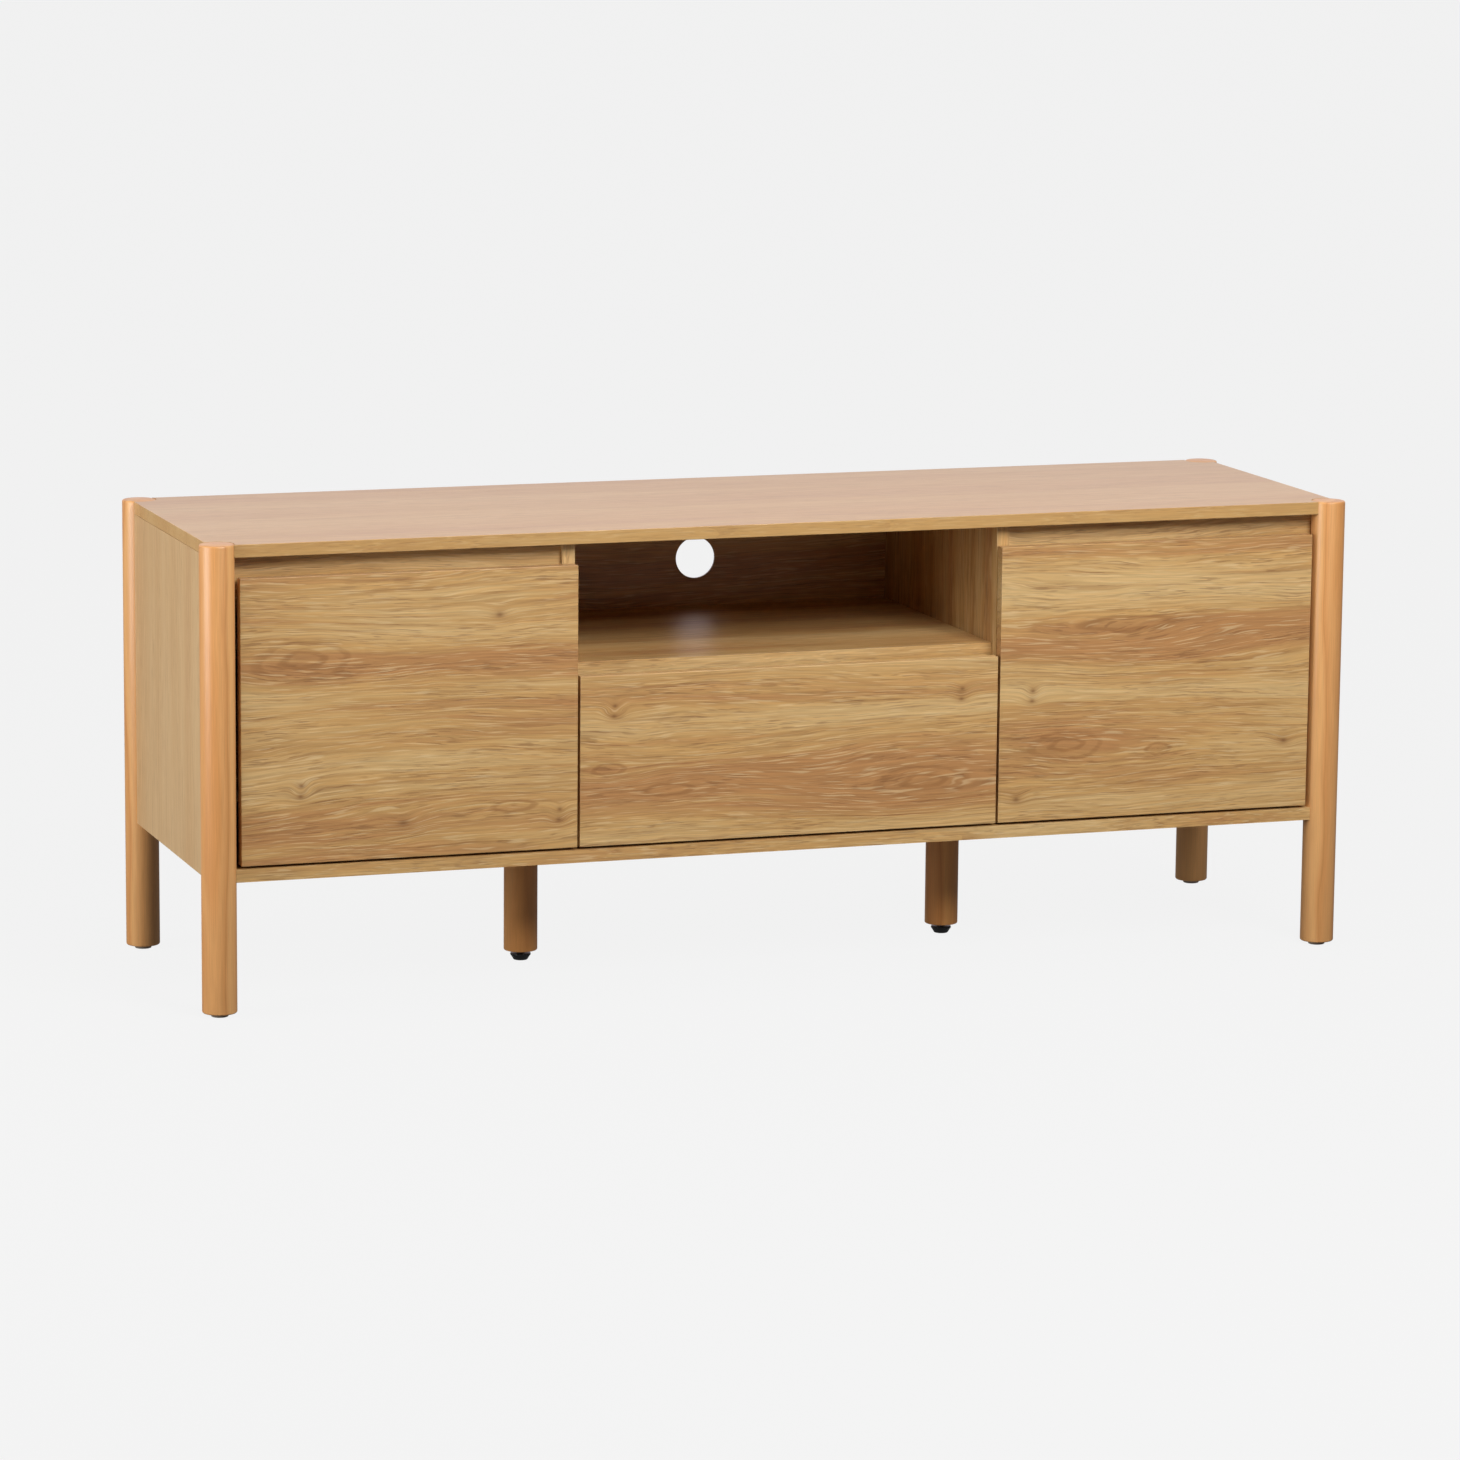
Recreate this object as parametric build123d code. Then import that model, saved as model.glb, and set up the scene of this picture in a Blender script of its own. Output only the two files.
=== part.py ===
from build123d import *
import os

# Low media cabinet on six round legs: two hinged doors, an open niche and one drawer.
# Millimetres. Origin on the floor at the middle of the plan, +X to the right, -Y to the front, +Z up.

# ---- driving dimensions ----
WIDTH = 1400.0                # over the corner posts
DEPTH = 420.0                 # over the corner posts
HEIGHT = 540.0                # floor to the top surface
BOARD = 15.0                  # coated board: panels, doors, drawer front
POST_D = 40.0                 # turned corner posts and middle legs
POST_PROUD = 10.0             # posts stand this far outside the cabinet faces
LEG_ROOM = 155.0              # floor to the underside of the cabinet
POST_FIT = 0.3                # gap between a post and the edge cut round it
EDGE_R = 0.8                  # softened edges of the coated boards
POST_R_EDGE = 2.0             # rounded ends of the posts
DIVIDER_HALF = 259.0          # middle of the cabinet to the inner face of a divider
FRONT_SETBACK = 1.0           # doors' back face to the dividers' front edges
DOOR_SIDE_GAP = 4.0           # door edge to the nearest point of the corner post
DOOR_INNER_X = 259.5          # middle of the cabinet to a door's free edge
DOOR_FLOOR_GAP = 3.0          # doors and drawer front above the bottom panel
FINGER_GAP = 24.0             # open grip over the doors
DRAWER_GAP = 3.0              # drawer front to each door
NICHE_SHELF_TOP = 384.0
NICHE_SHELF_SETBACK = 13.0    # shelf edge behind the dividers' front edges
SHELF_COVER = 3.0             # drawer front covers this much of the shelf's edge height
RAIL_HEIGHT = 60.0            # rail behind the grip over each door
RAIL_SETBACK = 6.0
BACK_T = 3.0                  # hardboard back
BACK_INSET = 10.0             # back sits this far in from the top panel's rear edge
CABLE_HOLE_D = 50.0
CABLE_HOLE_X = 12.0
CABLE_HOLE_Z = 443.0
INNER_SHELF_Z = 330.0         # underside of the shelf behind each door
INNER_SHELF_FRONT = 95.0      # front edge of that shelf behind the cabinet front
GLIDE_D = 20.0
GLIDE_H = 4.5
LEG_LIFT = 12.0               # middle legs end this far above the floor, over their levelling feet
MIDDLE_LEG_X = 267.0
FOOT_H = 8.0
FOOT_TOP_D = 25.0
FOOT_BASE_D = 17.0
STUD_D = 8.0
STUD_FIT = 0.05
DRAWER_BOARD = 12.0
DRAWER_BOX_Z = 182.0
DRAWER_BOX_H = 140.0
DRAWER_BOX_L = 350.0
DRAWER_BOTTOM_T = 3.0
GROOVE = 4.0                  # depth of the drawer bottom's groove
RUNNER_ROOM = 12.7            # width of one telescopic runner
RUNNER_H = 45.0
SHEET = 1.2                   # steel of the runners and hinge flanges
HINGE_Z = (250.0, 425.0)      # heights of the two hinges of a door
CUP_D = 35.0
CUP_DEPTH = 11.5
CUP_TO_EDGE = 5.0             # door edge to the cup
CUP_FIT = 0.15                # gap round the cup in its bore
# Hinge pivot, measured in plan from a door's outer front corner: along the door, then inwards.
PIVOT = (9.0, 7.0)
PIN_R = 1.25
PIN_FIT = 0.05
BATTEN_T = 17.0               # packing strip that brings the hinge plates out past the post
BATTEN_RUN = (38.0, 90.0)     # the strip's front and rear edges behind the cabinet front

# ---- derived places ----
POST_R = POST_D / 2
POST_X = WIDTH / 2 - POST_R
POST_Y = DEPTH / 2 - POST_R
CASE_X = WIDTH / 2 - POST_PROUD
CASE_Y = DEPTH / 2 - POST_PROUD
FRONT_Y = -CASE_Y
TOP_UNDER = HEIGHT - BOARD
FLOOR_TOP = LEG_ROOM + BOARD
SIDE_IN = CASE_X - BOARD
DIVIDER_OUT = DIVIDER_HALF + BOARD
DIVIDER_FRONT = FRONT_Y + BOARD + FRONT_SETBACK
BACK_Y = CASE_Y - BACK_INSET
DOOR_OUT_X = POST_X - POST_R - DOOR_SIDE_GAP
DOOR_LOW = FLOOR_TOP + DOOR_FLOOR_GAP
DOOR_HIGH = TOP_UNDER - FINGER_GAP
DRAWER_X = DOOR_INNER_X - DRAWER_GAP
SHELF_UNDER = NICHE_SHELF_TOP - BOARD
DRAWER_HIGH = SHELF_UNDER + SHELF_COVER
SIDES = (("left", -1), ("right", 1))


def block(x0, x1, y0, y1, z0, z1):
    """A box between two opposite corners."""
    return Pos((x0 + x1) / 2, (y0 + y1) / 2, (z0 + z1) / 2) * Box(abs(x1 - x0), abs(y1 - y0), abs(z1 - z0))


def rod(axis, radius, start, end, a, b):
    """A cylinder along X, Y or Z from start to end; a and b place it on the two other axes."""
    middle = (start + end) / 2
    place = {"X": (middle, a, b), "Y": (a, middle, b), "Z": (a, b, middle)}[axis]
    turn = {"X": (0, 90, 0), "Y": (90, 0, 0), "Z": (0, 0, 0)}[axis]
    return Pos(*place) * Rot(*turn) * Cylinder(radius, abs(end - start))


def soften(part, radius=EDGE_R):
    """The part with every edge rounded."""
    return fillet(part.edges(), radius)


def mirrored(part, side):
    """A part drawn for the left, as it is on the given side."""
    return part if side < 0 else mirror(part, about=Plane.YZ)


def group(parts):
    """Several separate solids kept together in one node."""
    return Compound(children=list(parts))


# ---- corner posts, middle legs and feet ----
POST_PLACES = {
    "front_left": (-POST_X, -POST_Y),
    "front_right": (POST_X, -POST_Y),
    "rear_left": (-POST_X, POST_Y),
    "rear_right": (POST_X, POST_Y),
}
POST_CUTS = group(rod("Z", POST_R + POST_FIT, 0, HEIGHT + POST_FIT, x, y) for x, y in POST_PLACES.values())
nodes = {}


def round_leg(x, y, low, high, low_edge, high_edge):
    """A turned leg with rounded ends; an edge radius of 0 leaves that end square."""
    leg = rod("Z", POST_R, low, high, x, y)
    if low_edge:
        leg = fillet(leg.edges().sort_by(Axis.Z)[0], low_edge)
    if high_edge:
        leg = fillet(leg.edges().sort_by(Axis.Z)[-1], high_edge)
    return leg


GLIDE_EDGE_R = 1.0
GLIDE_NAIL_R = 1.25
GLIDE_NAIL_L = 15.0
OVERLAP = 1.0                 # what one shape is run into or past another, so that they join or cut cleanly
glides = []
for place, (px, py) in POST_PLACES.items():
    nodes["post_" + place] = round_leg(px, py, GLIDE_H, HEIGHT, POST_R_EDGE, POST_R_EDGE)
    pad = fillet(rod("Z", GLIDE_D / 2, 0, GLIDE_H, px, py).edges().sort_by(Axis.Z)[0], GLIDE_EDGE_R)
    glides.append(pad + rod("Z", GLIDE_NAIL_R, GLIDE_H - OVERLAP, GLIDE_H + GLIDE_NAIL_L, px, py))
nodes["post_glides"] = group(glides)

HANGER_R = 4.0
HANGER_UP = 12.0              # into the bottom panel
HANGER_DOWN = 28.0            # into the leg
LEG_EDGE_R = 1.5
FOOT_EDGE_R = 0.6
STUD_LOW = 2.0                # inside the foot
STUD_TOP = 32.0
STUD_HOLE_TOP = 38.0
hangers = []
for side_name, side in SIDES:
    leg_x = side * MIDDLE_LEG_X
    leg = round_leg(leg_x, 0, LEG_LIFT, LEG_ROOM, LEG_EDGE_R, 0)
    leg -= rod("Z", STUD_D / 2 + STUD_FIT, LEG_LIFT - OVERLAP, STUD_HOLE_TOP, leg_x, 0)
    nodes["middle_leg_" + side_name] = leg
    hangers.append(rod("Z", HANGER_R, LEG_ROOM - HANGER_DOWN, LEG_ROOM + HANGER_UP, leg_x, 0))
    cone = Pos(leg_x, 0, FOOT_H / 2) * Cone(FOOT_BASE_D / 2, FOOT_TOP_D / 2, FOOT_H)
    stud = rod("Z", STUD_D / 2, STUD_LOW, STUD_TOP, leg_x, 0)
    nodes["levelling_foot_" + side_name] = group([fillet(cone.edges(), FOOT_EDGE_R) - stud, stud])
nodes["leg_hanger_bolts"] = group(hangers)

# ---- cabinet boards ----
nodes["top_panel"] = soften(block(-CASE_X, CASE_X, -CASE_Y, CASE_Y, TOP_UNDER, HEIGHT)) - POST_CUTS
nodes["bottom_panel"] = block(-SIDE_IN, SIDE_IN, -CASE_Y, BACK_Y, LEG_ROOM, FLOOR_TOP) - POST_CUTS
nodes["niche_shelf"] = block(-DIVIDER_HALF, DIVIDER_HALF, DIVIDER_FRONT + NICHE_SHELF_SETBACK, BACK_Y,
                             SHELF_UNDER, NICHE_SHELF_TOP)
SHELF_PIN_R = 2.5
SHELF_PIN_IN = 8.0
SHELF_PIN_OUT = 9.0
SHELF_PIN_FRONT = 35.0        # front pins behind the shelf's front edge
SHELF_PIN_REAR = 60.0         # rear pins in front of the back
SHELF_END_GAP = 1.0
shelf_pins = []
for side_name, side in SIDES:
    nodes["side_panel_" + side_name] = block(side * SIDE_IN, side * CASE_X, -POST_Y, POST_Y,
                                             LEG_ROOM, TOP_UNDER) - POST_CUTS
    nodes["divider_" + side_name] = block(side * DIVIDER_HALF, side * DIVIDER_OUT, DIVIDER_FRONT, BACK_Y,
                                          FLOOR_TOP, TOP_UNDER)
    rail_y = DIVIDER_FRONT + RAIL_SETBACK
    rail = block(side * DIVIDER_OUT, side * SIDE_IN, rail_y, rail_y + BOARD, TOP_UNDER - RAIL_HEIGHT, TOP_UNDER)
    nodes["door_rail_" + side_name] = rail - POST_CUTS
    batten = block(side * (SIDE_IN - BATTEN_T), side * SIDE_IN, FRONT_Y + BATTEN_RUN[0],
                   FRONT_Y + BATTEN_RUN[1], FLOOR_TOP, TOP_UNDER - RAIL_HEIGHT)
    nodes["hinge_batten_" + side_name] = batten
    shelf_y = FRONT_Y + INNER_SHELF_FRONT
    shelf = block(side * (DIVIDER_OUT + SHELF_END_GAP), side * (SIDE_IN - SHELF_END_GAP), shelf_y,
                  BACK_Y - SHELF_END_GAP, INNER_SHELF_Z, INNER_SHELF_Z + BOARD)
    nodes["inner_shelf_" + side_name] = shelf - POST_CUTS
    for pin_y in (shelf_y + SHELF_PIN_FRONT, BACK_Y - SHELF_PIN_REAR):
        pin_z = INNER_SHELF_Z - SHELF_PIN_R
        for face, way in ((DIVIDER_OUT, 1), (SIDE_IN, -1)):
            inner = side * (face - way * SHELF_PIN_IN)
            outer = side * (face + way * SHELF_PIN_OUT)
            shelf_pins.append(rod("X", SHELF_PIN_R, inner, outer, pin_y, pin_z))
nodes["shelf_pins"] = group(shelf_pins)

BACK_SIDE_GAP = 1.0
BACK_SEAM_GAP = 0.5
back_outer = POST_X - POST_R - BACK_SIDE_GAP
back_seam = (DIVIDER_HALF + DIVIDER_OUT) / 2
for side_name, side in SIDES:
    nodes["back_panel_" + side_name] = block(side * (back_seam + BACK_SEAM_GAP), side * back_outer,
                                             BACK_Y, BACK_Y + BACK_T, LEG_ROOM, TOP_UNDER)
cable_hole = rod("Y", CABLE_HOLE_D / 2, BACK_Y - OVERLAP, BACK_Y + BACK_T + OVERLAP, CABLE_HOLE_X, CABLE_HOLE_Z)
nodes["back_panel_middle"] = block(-back_seam + BACK_SEAM_GAP, back_seam - BACK_SEAM_GAP,
                                   BACK_Y, BACK_Y + BACK_T, LEG_ROOM, TOP_UNDER) - cable_hole

# ---- doors ----
BUMPER_R = 4.0
BUMPER_T = 0.7
BUMPER_IN = 20.0              # from a door's upper and lower edges
for side_name, side in SIDES:
    door = soften(block(side * DOOR_INNER_X, side * DOOR_OUT_X, FRONT_Y, FRONT_Y + BOARD, DOOR_LOW, DOOR_HIGH))
    nodes["door_" + side_name] = door
nodes["door_bumpers"] = group(
    rod("Y", BUMPER_R, DIVIDER_FRONT - BUMPER_T, DIVIDER_FRONT, side * back_seam, z)
    for _, side in SIDES for z in (DOOR_LOW + BUMPER_IN, DOOR_HIGH - BUMPER_IN)
)

# ---- single-axis concealed hinges, drawn for the left door ----
EAR_HALF = 9.0                # half width of the cup's screw ears
POCKET_HALF = 8.5             # half height of the cup's pocket
PIN_HOLD = 0.8                # the pivot pin reaches this far into the cup above and below the pocket
POCKET_END = 1.5              # cup rim to the pocket's end at the pivot
POCKET_FAR = 5.0              # cup rim to the pocket's far end
CUP_FLOOR = 1.1
FLANGE_HALF = 30.0
CUP_SCREW_Z = 24.0
CUP_SCREW_L = 11.0
HUB_R = 2.3
NECK_T = 2.4
NECK_HALF = 6.0               # half height of the arm
NECK_IN = 14.5                # the neck curls round the door's corner between these two radii
NECK_OUT = 17.5
NECK_START = 5.0              # degrees
NECK_TURN = 115.0
ARM_FRONT = 21.0              # arm's foot, measured inwards from the door's front face
ARM_TAIL = 82.0
ARM_T = 6.2
PLATE_T = 2.0
PLATE_RUN = (42.0, 80.0)
PLATE_HALF = 25.0
PLATE_SCREW_Z = 19.0
PLATE_SCREW_L = 14.0


def at_door(u, v):
    """Plan place for a point u along the left door and v behind its front face."""
    return (-DOOR_OUT_X + u, FRONT_Y + v)


def plan_block(u0, u1, v0, v1, z, half):
    """A box given in the left door's plan measures, centred on height z."""
    x0, y0 = at_door(u0, v0)
    x1, y1 = at_door(u1, v1)
    return block(x0, x1, y0, y1, z - half, z + half)


def cup_round(z, proud, gap=0.0):
    """The round of a cup in the door's back, or with a gap its bore; proud carries it past the face."""
    x, _ = at_door(CUP_TO_EDGE + CUP_D / 2, 0)
    back = FRONT_Y + BOARD
    return rod("Y", CUP_D / 2 + gap, back - CUP_DEPTH - gap, back + proud, x, z)


def hinge_cup(z):
    """Pressed cup sunk in the door's back, with two screw ears."""
    u_mid = CUP_TO_EDGE + CUP_D / 2
    cup = cup_round(z, SHEET)
    cup += plan_block(u_mid - EAR_HALF, u_mid + EAR_HALF, BOARD, BOARD + SHEET, z, FLANGE_HALF)
    cup -= plan_block(CUP_TO_EDGE + POCKET_END, CUP_TO_EDGE + CUP_D - POCKET_FAR,
                      BOARD - CUP_DEPTH + CUP_FLOOR, BOARD + SHEET + OVERLAP, z, POCKET_HALF)
    cup -= plan_block(0, CUP_TO_EDGE + POCKET_END, BOARD, BOARD + SHEET + OVERLAP, z, POCKET_HALF)
    return cup - cup_pin(z)


def cup_pin(z):
    """Pivot pin held across the cup."""
    half = POCKET_HALF + PIN_HOLD
    return rod("Z", PIN_R, z - half, z + half, *at_door(*PIVOT))


def hinge_arm(z):
    """Swan-neck arm: a hub on the cup's pin, a neck that curls round the door's corner, and a foot."""
    x, y = at_door(*PIVOT)
    height = 2 * NECK_HALF
    about_axis = (Align.NONE, Align.NONE, Align.CENTER)
    ring = Cylinder(NECK_OUT, height, arc_size=NECK_TURN, align=about_axis) - Cylinder(NECK_IN, height)
    web_l = NECK_IN + OVERLAP
    web = Pos(web_l / 2, 0, 0) * Box(web_l, NECK_T, height)
    arm = Pos(x, y, z) * Rot(0, 0, NECK_START) * (ring + web)
    arm += rod("Z", HUB_R, z - NECK_HALF, z + NECK_HALF, x, y)
    face = DOOR_OUT_X - SIDE_IN + BATTEN_T
    arm += plan_block(face + PLATE_T, face + PLATE_T + ARM_T, ARM_FRONT, ARM_TAIL, z, NECK_HALF)
    return arm - rod("Z", PIN_R + PIN_FIT, z - height, z + height, x, y)


def hinge_plate(z):
    """Mounting plate on the batten."""
    face = DOOR_OUT_X - SIDE_IN + BATTEN_T
    return plan_block(face, face + PLATE_T, *PLATE_RUN, z, PLATE_HALF)


SCREW_R = 2.0
SCREW_HEAD_R = 3.8
SCREW_HEAD_T = 1.4


def screw(axis, face, way, length, a, b):
    """Pan-head screw: the head stands on a face, the shank runs the given way from it."""
    head = rod(axis, SCREW_HEAD_R, face, face - way * SCREW_HEAD_T, a, b)
    return head + rod(axis, SCREW_R, face, face + way * length, a, b)


plate_screws = []
for side_name, side in SIDES:
    cup_screws = []
    for z in HINGE_Z:
        ear_x, _ = at_door(CUP_TO_EDGE + CUP_D / 2, 0)
        plate_face = -SIDE_IN + BATTEN_T + PLATE_T
        plate_y = FRONT_Y + sum(PLATE_RUN) / 2
        for offset in (-1, 1):
            cup_screws.append(screw("Y", FRONT_Y + BOARD + SHEET, -1, CUP_SCREW_L, ear_x,
                                    z + offset * CUP_SCREW_Z))
            plate_screws.append(mirrored(screw("X", plate_face, -1, PLATE_SCREW_L, plate_y,
                                               z + offset * PLATE_SCREW_Z), side))
    cups = [make(z) for z in HINGE_Z for make in (hinge_cup, cup_pin)]
    nodes["hinge_cups_" + side_name] = mirrored(group(cups), side)
    nodes["door_" + side_name] -= mirrored(group(cup_round(z, OVERLAP, CUP_FIT) for z in HINGE_Z), side)
    nodes["hinge_cup_screws_" + side_name] = mirrored(group(cup_screws), side)
nodes["hinge_arms"] = group(mirrored(hinge_arm(z), side) for _, side in SIDES for z in HINGE_Z)
nodes["hinge_plates"] = group(mirrored(hinge_plate(z), side) for _, side in SIDES for z in HINGE_Z)
nodes["hinge_plate_screws"] = group(plate_screws)

# ---- drawer ----
BOTTOM_UP = 8.0               # drawer bottom above the lower edges of the sides
box_out = DIVIDER_HALF - RUNNER_ROOM
box_in = box_out - DRAWER_BOARD
box_front = FRONT_Y + BOARD
box_rear = box_front + DRAWER_BOX_L
box_top = DRAWER_BOX_Z + DRAWER_BOX_H
bottom_z = DRAWER_BOX_Z + BOTTOM_UP
nodes["drawer_front"] = soften(block(-DRAWER_X, DRAWER_X, FRONT_Y, box_front, DOOR_LOW, DRAWER_HIGH))
drawer_bottom = block(-box_in - GROOVE, box_in + GROOVE, box_front + DRAWER_BOARD - GROOVE, box_rear,
                      bottom_z, bottom_z + DRAWER_BOTTOM_T)
nodes["drawer_bottom"] = drawer_bottom
for side_name, side in SIDES:
    wall = block(side * box_in, side * box_out, box_front, box_rear, DRAWER_BOX_Z, box_top)
    nodes["drawer_side_" + side_name] = wall - drawer_bottom
nodes["drawer_inner_front"] = block(-box_in, box_in, box_front, box_front + DRAWER_BOARD,
                                    DRAWER_BOX_Z, box_top) - drawer_bottom
nodes["drawer_back"] = block(-box_in, box_in, box_rear - DRAWER_BOARD, box_rear,
                             bottom_z + DRAWER_BOTTOM_T, box_top)

# ---- telescopic runners, drawn for the left ----
RUNNER_Z = DRAWER_BOX_Z + DRAWER_BOX_H / 2
RUNNER_START = box_front + 3.0
RUNNER_L = 345.0
RUNNER_STEP = 1.0             # each rail starts this far behind the one outside it
FIXED_DEEP = 9.0              # how far the flanges of the three rails reach from their own backs
MIDDLE_DEEP = 7.2
INNER_DEEP = 7.4
MIDDLE_IN = 2.6               # divider face to the middle rail's back
MIDDLE_HALF = 18.5
INNER_HALF = 14.5
CAGE_IN = (5.6, 8.2)          # ball cages, measured from the divider face
CAGE_T = 2.2
CAGE_L = 150.0
CAGE_START = 90.0
CAGE_GAP = 0.2


def channel(back_x, tip_x, half, start, length):
    """A C section lying along Y: a web at back_x and two flanges that reach to tip_x."""
    way = 1 if tip_x > back_x else -1
    section = block(back_x, back_x + way * SHEET, start, start + length, RUNNER_Z - half, RUNNER_Z + half)
    for low in (-half, half - SHEET):
        section += block(back_x, tip_x, start, start + length, RUNNER_Z + low, RUNNER_Z + low + SHEET)
    return section


RUNNER_SCREW_YS = (RUNNER_START + 35.0, RUNNER_START + 180.0, RUNNER_START + 305.0)
RUNNER_HEAD_R = 3.4
RUNNER_HEAD_T = 1.0
RUNNER_SHANK_R = 1.8
RUNNER_SHANK_L = 11.0         # into a divider
DRAWER_SHANK_L = 9.0          # into a drawer side
runner_screws = []
drawer_runner_screws = []
for side_name, side in SIDES:
    wall_x = -DIVIDER_HALF
    outer = channel(wall_x, wall_x + FIXED_DEEP, RUNNER_H / 2, RUNNER_START, RUNNER_L)
    middle = channel(wall_x + MIDDLE_IN, wall_x + MIDDLE_IN + MIDDLE_DEEP, MIDDLE_HALF,
                     RUNNER_START + RUNNER_STEP, RUNNER_L - 2 * RUNNER_STEP)
    inner = channel(-box_out, -box_out - INNER_DEEP, INNER_HALF,
                    RUNNER_START + 2 * RUNNER_STEP, RUNNER_L - 4 * RUNNER_STEP)
    cages = []
    for rest in (RUNNER_H / 2 - SHEET, MIDDLE_HALF - SHEET):
        for way in (-1, 1):
            near = RUNNER_Z + way * (rest - CAGE_GAP)
            far = near - way * CAGE_T
            start = RUNNER_START + CAGE_START
            cages.append(block(wall_x + CAGE_IN[0], wall_x + CAGE_IN[1], start, start + CAGE_L, near, far))
    nodes["runner_fixed_" + side_name] = mirrored(outer, side)
    nodes["runner_middle_" + side_name] = mirrored(middle, side)
    nodes["runner_cages_" + side_name] = mirrored(group(cages), side)
    nodes["runner_drawer_" + side_name] = mirrored(inner, side)
    for y in RUNNER_SCREW_YS:
        face = wall_x + SHEET
        fixing = rod("X", RUNNER_HEAD_R, face, face + RUNNER_HEAD_T, y, RUNNER_Z)
        fixing += rod("X", RUNNER_SHANK_R, face, wall_x - RUNNER_SHANK_L, y, RUNNER_Z)
        runner_screws.append(mirrored(fixing, side))
        face = -box_out - SHEET
        fixing = rod("X", RUNNER_HEAD_R, face, face - RUNNER_HEAD_T, y, RUNNER_Z)
        fixing += rod("X", RUNNER_SHANK_R, face, -box_out + DRAWER_SHANK_L, y, RUNNER_Z)
        drawer_runner_screws.append(mirrored(fixing, side))
nodes["runner_screws"] = group(runner_screws)
nodes["drawer_runner_screws"] = group(drawer_runner_screws)
FRONT_SCREW_X = 150.0
FRONT_SCREW_Z = (DRAWER_BOX_Z + 40.0, box_top - 30.0)
FRONT_SCREW_L = 23.0
nodes["drawer_front_screws"] = group(
    screw("Y", box_front + DRAWER_BOARD, -1, FRONT_SCREW_L, side * FRONT_SCREW_X, z)
    for _, side in SIDES for z in FRONT_SCREW_Z
)

# ---- cam fittings, dowels and nails ----
CAM_R = 7.5
CAM_DEPTH = 12.0
CAM_REACH = 34.0              # cam centre to the joint
CAM_BOLT_R = 3.0
CAM_BOLT_IN = 11.0
FITTING_YS = (-110.0, 120.0)  # the two fittings of each joint, front and rear
SIDE_CAM_SHIFT = 20.0         # keeps the side panels' upper cams clear of the rear posts' bolts
POST_CAM_Z = (LEG_ROOM + 45.0, TOP_UNDER - 75.0)
DOWEL_R = 4.0
DOWEL_SHORT = 9.0             # into the top or bottom panel
DOWEL_LONG = 20.0             # into the divider
DOWEL_SHIFT = 32.0            # from the fitting beside it
cams = []
bolts = []
dowels = []


def cam_joint(cam_axis, cam_from, cam_to, bolt_axis, joint_at, way, on_cam_axis, across):
    """One cam and its bolt. The bolt crosses the joint plane and ends inside the neighbouring board.

    on_cam_axis is the height of the bolt line on the cam's own axis; across is the third coordinate.
    """
    centre = joint_at - way * CAM_REACH
    place = {"X": 0, "Y": 1, "Z": 2}
    third = ({"X", "Y", "Z"} - {cam_axis, bolt_axis}).pop()
    spot = [0.0, 0.0, 0.0]
    spot[place[bolt_axis]] = centre
    spot[place[third]] = across
    cam_others = [spot[place[name]] for name in "XYZ" if name != cam_axis]
    cam = rod(cam_axis, CAM_R, cam_from, cam_to, *cam_others)
    spot[place[cam_axis]] = on_cam_axis
    bolt_others = [spot[place[name]] for name in "XYZ" if name != bolt_axis]
    bolt = rod(bolt_axis, CAM_BOLT_R, centre, joint_at + way * CAM_BOLT_IN, *bolt_others)
    cams.append(cam - bolt)
    bolts.append(bolt)


for _, side in SIDES:
    side_mid = side * (CASE_X - BOARD / 2)
    divider_mid = side * (DIVIDER_HALF + BOARD / 2)
    for y in FITTING_YS:
        cam_joint("Z", LEG_ROOM, LEG_ROOM + CAM_DEPTH, "X", side * SIDE_IN, side, LEG_ROOM + BOARD / 2, y)
        cam_joint("X", side * SIDE_IN, side * (SIDE_IN + CAM_DEPTH), "Z", TOP_UNDER, 1, side_mid,
                  y + SIDE_CAM_SHIFT)
        cam_joint("X", side * DIVIDER_OUT, side * (DIVIDER_OUT - CAM_DEPTH), "Z", TOP_UNDER, 1, divider_mid, y)
        cam_joint("Z", SHELF_UNDER, SHELF_UNDER + CAM_DEPTH, "X", side * DIVIDER_HALF, side,
                  SHELF_UNDER + BOARD / 2, y)
        dowels.append(rod("Z", DOWEL_R, TOP_UNDER - DOWEL_LONG, TOP_UNDER + DOWEL_SHORT, divider_mid,
                          y + DOWEL_SHIFT))
        dowels.append(rod("Z", DOWEL_R, FLOOR_TOP - DOWEL_SHORT, FLOOR_TOP + DOWEL_LONG, divider_mid,
                          y + DOWEL_SHIFT))
    for way in (-1, 1):
        for z in POST_CAM_Z:
            cam_joint("X", side * SIDE_IN, side * (SIDE_IN + CAM_DEPTH), "Y",
                      way * (POST_Y - POST_R - POST_FIT), way, side_mid, z)
nodes["cam_locks"] = group(cams)
nodes["cam_bolts"] = group(bolts)
nodes["wood_dowels"] = group(dowels)

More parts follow.
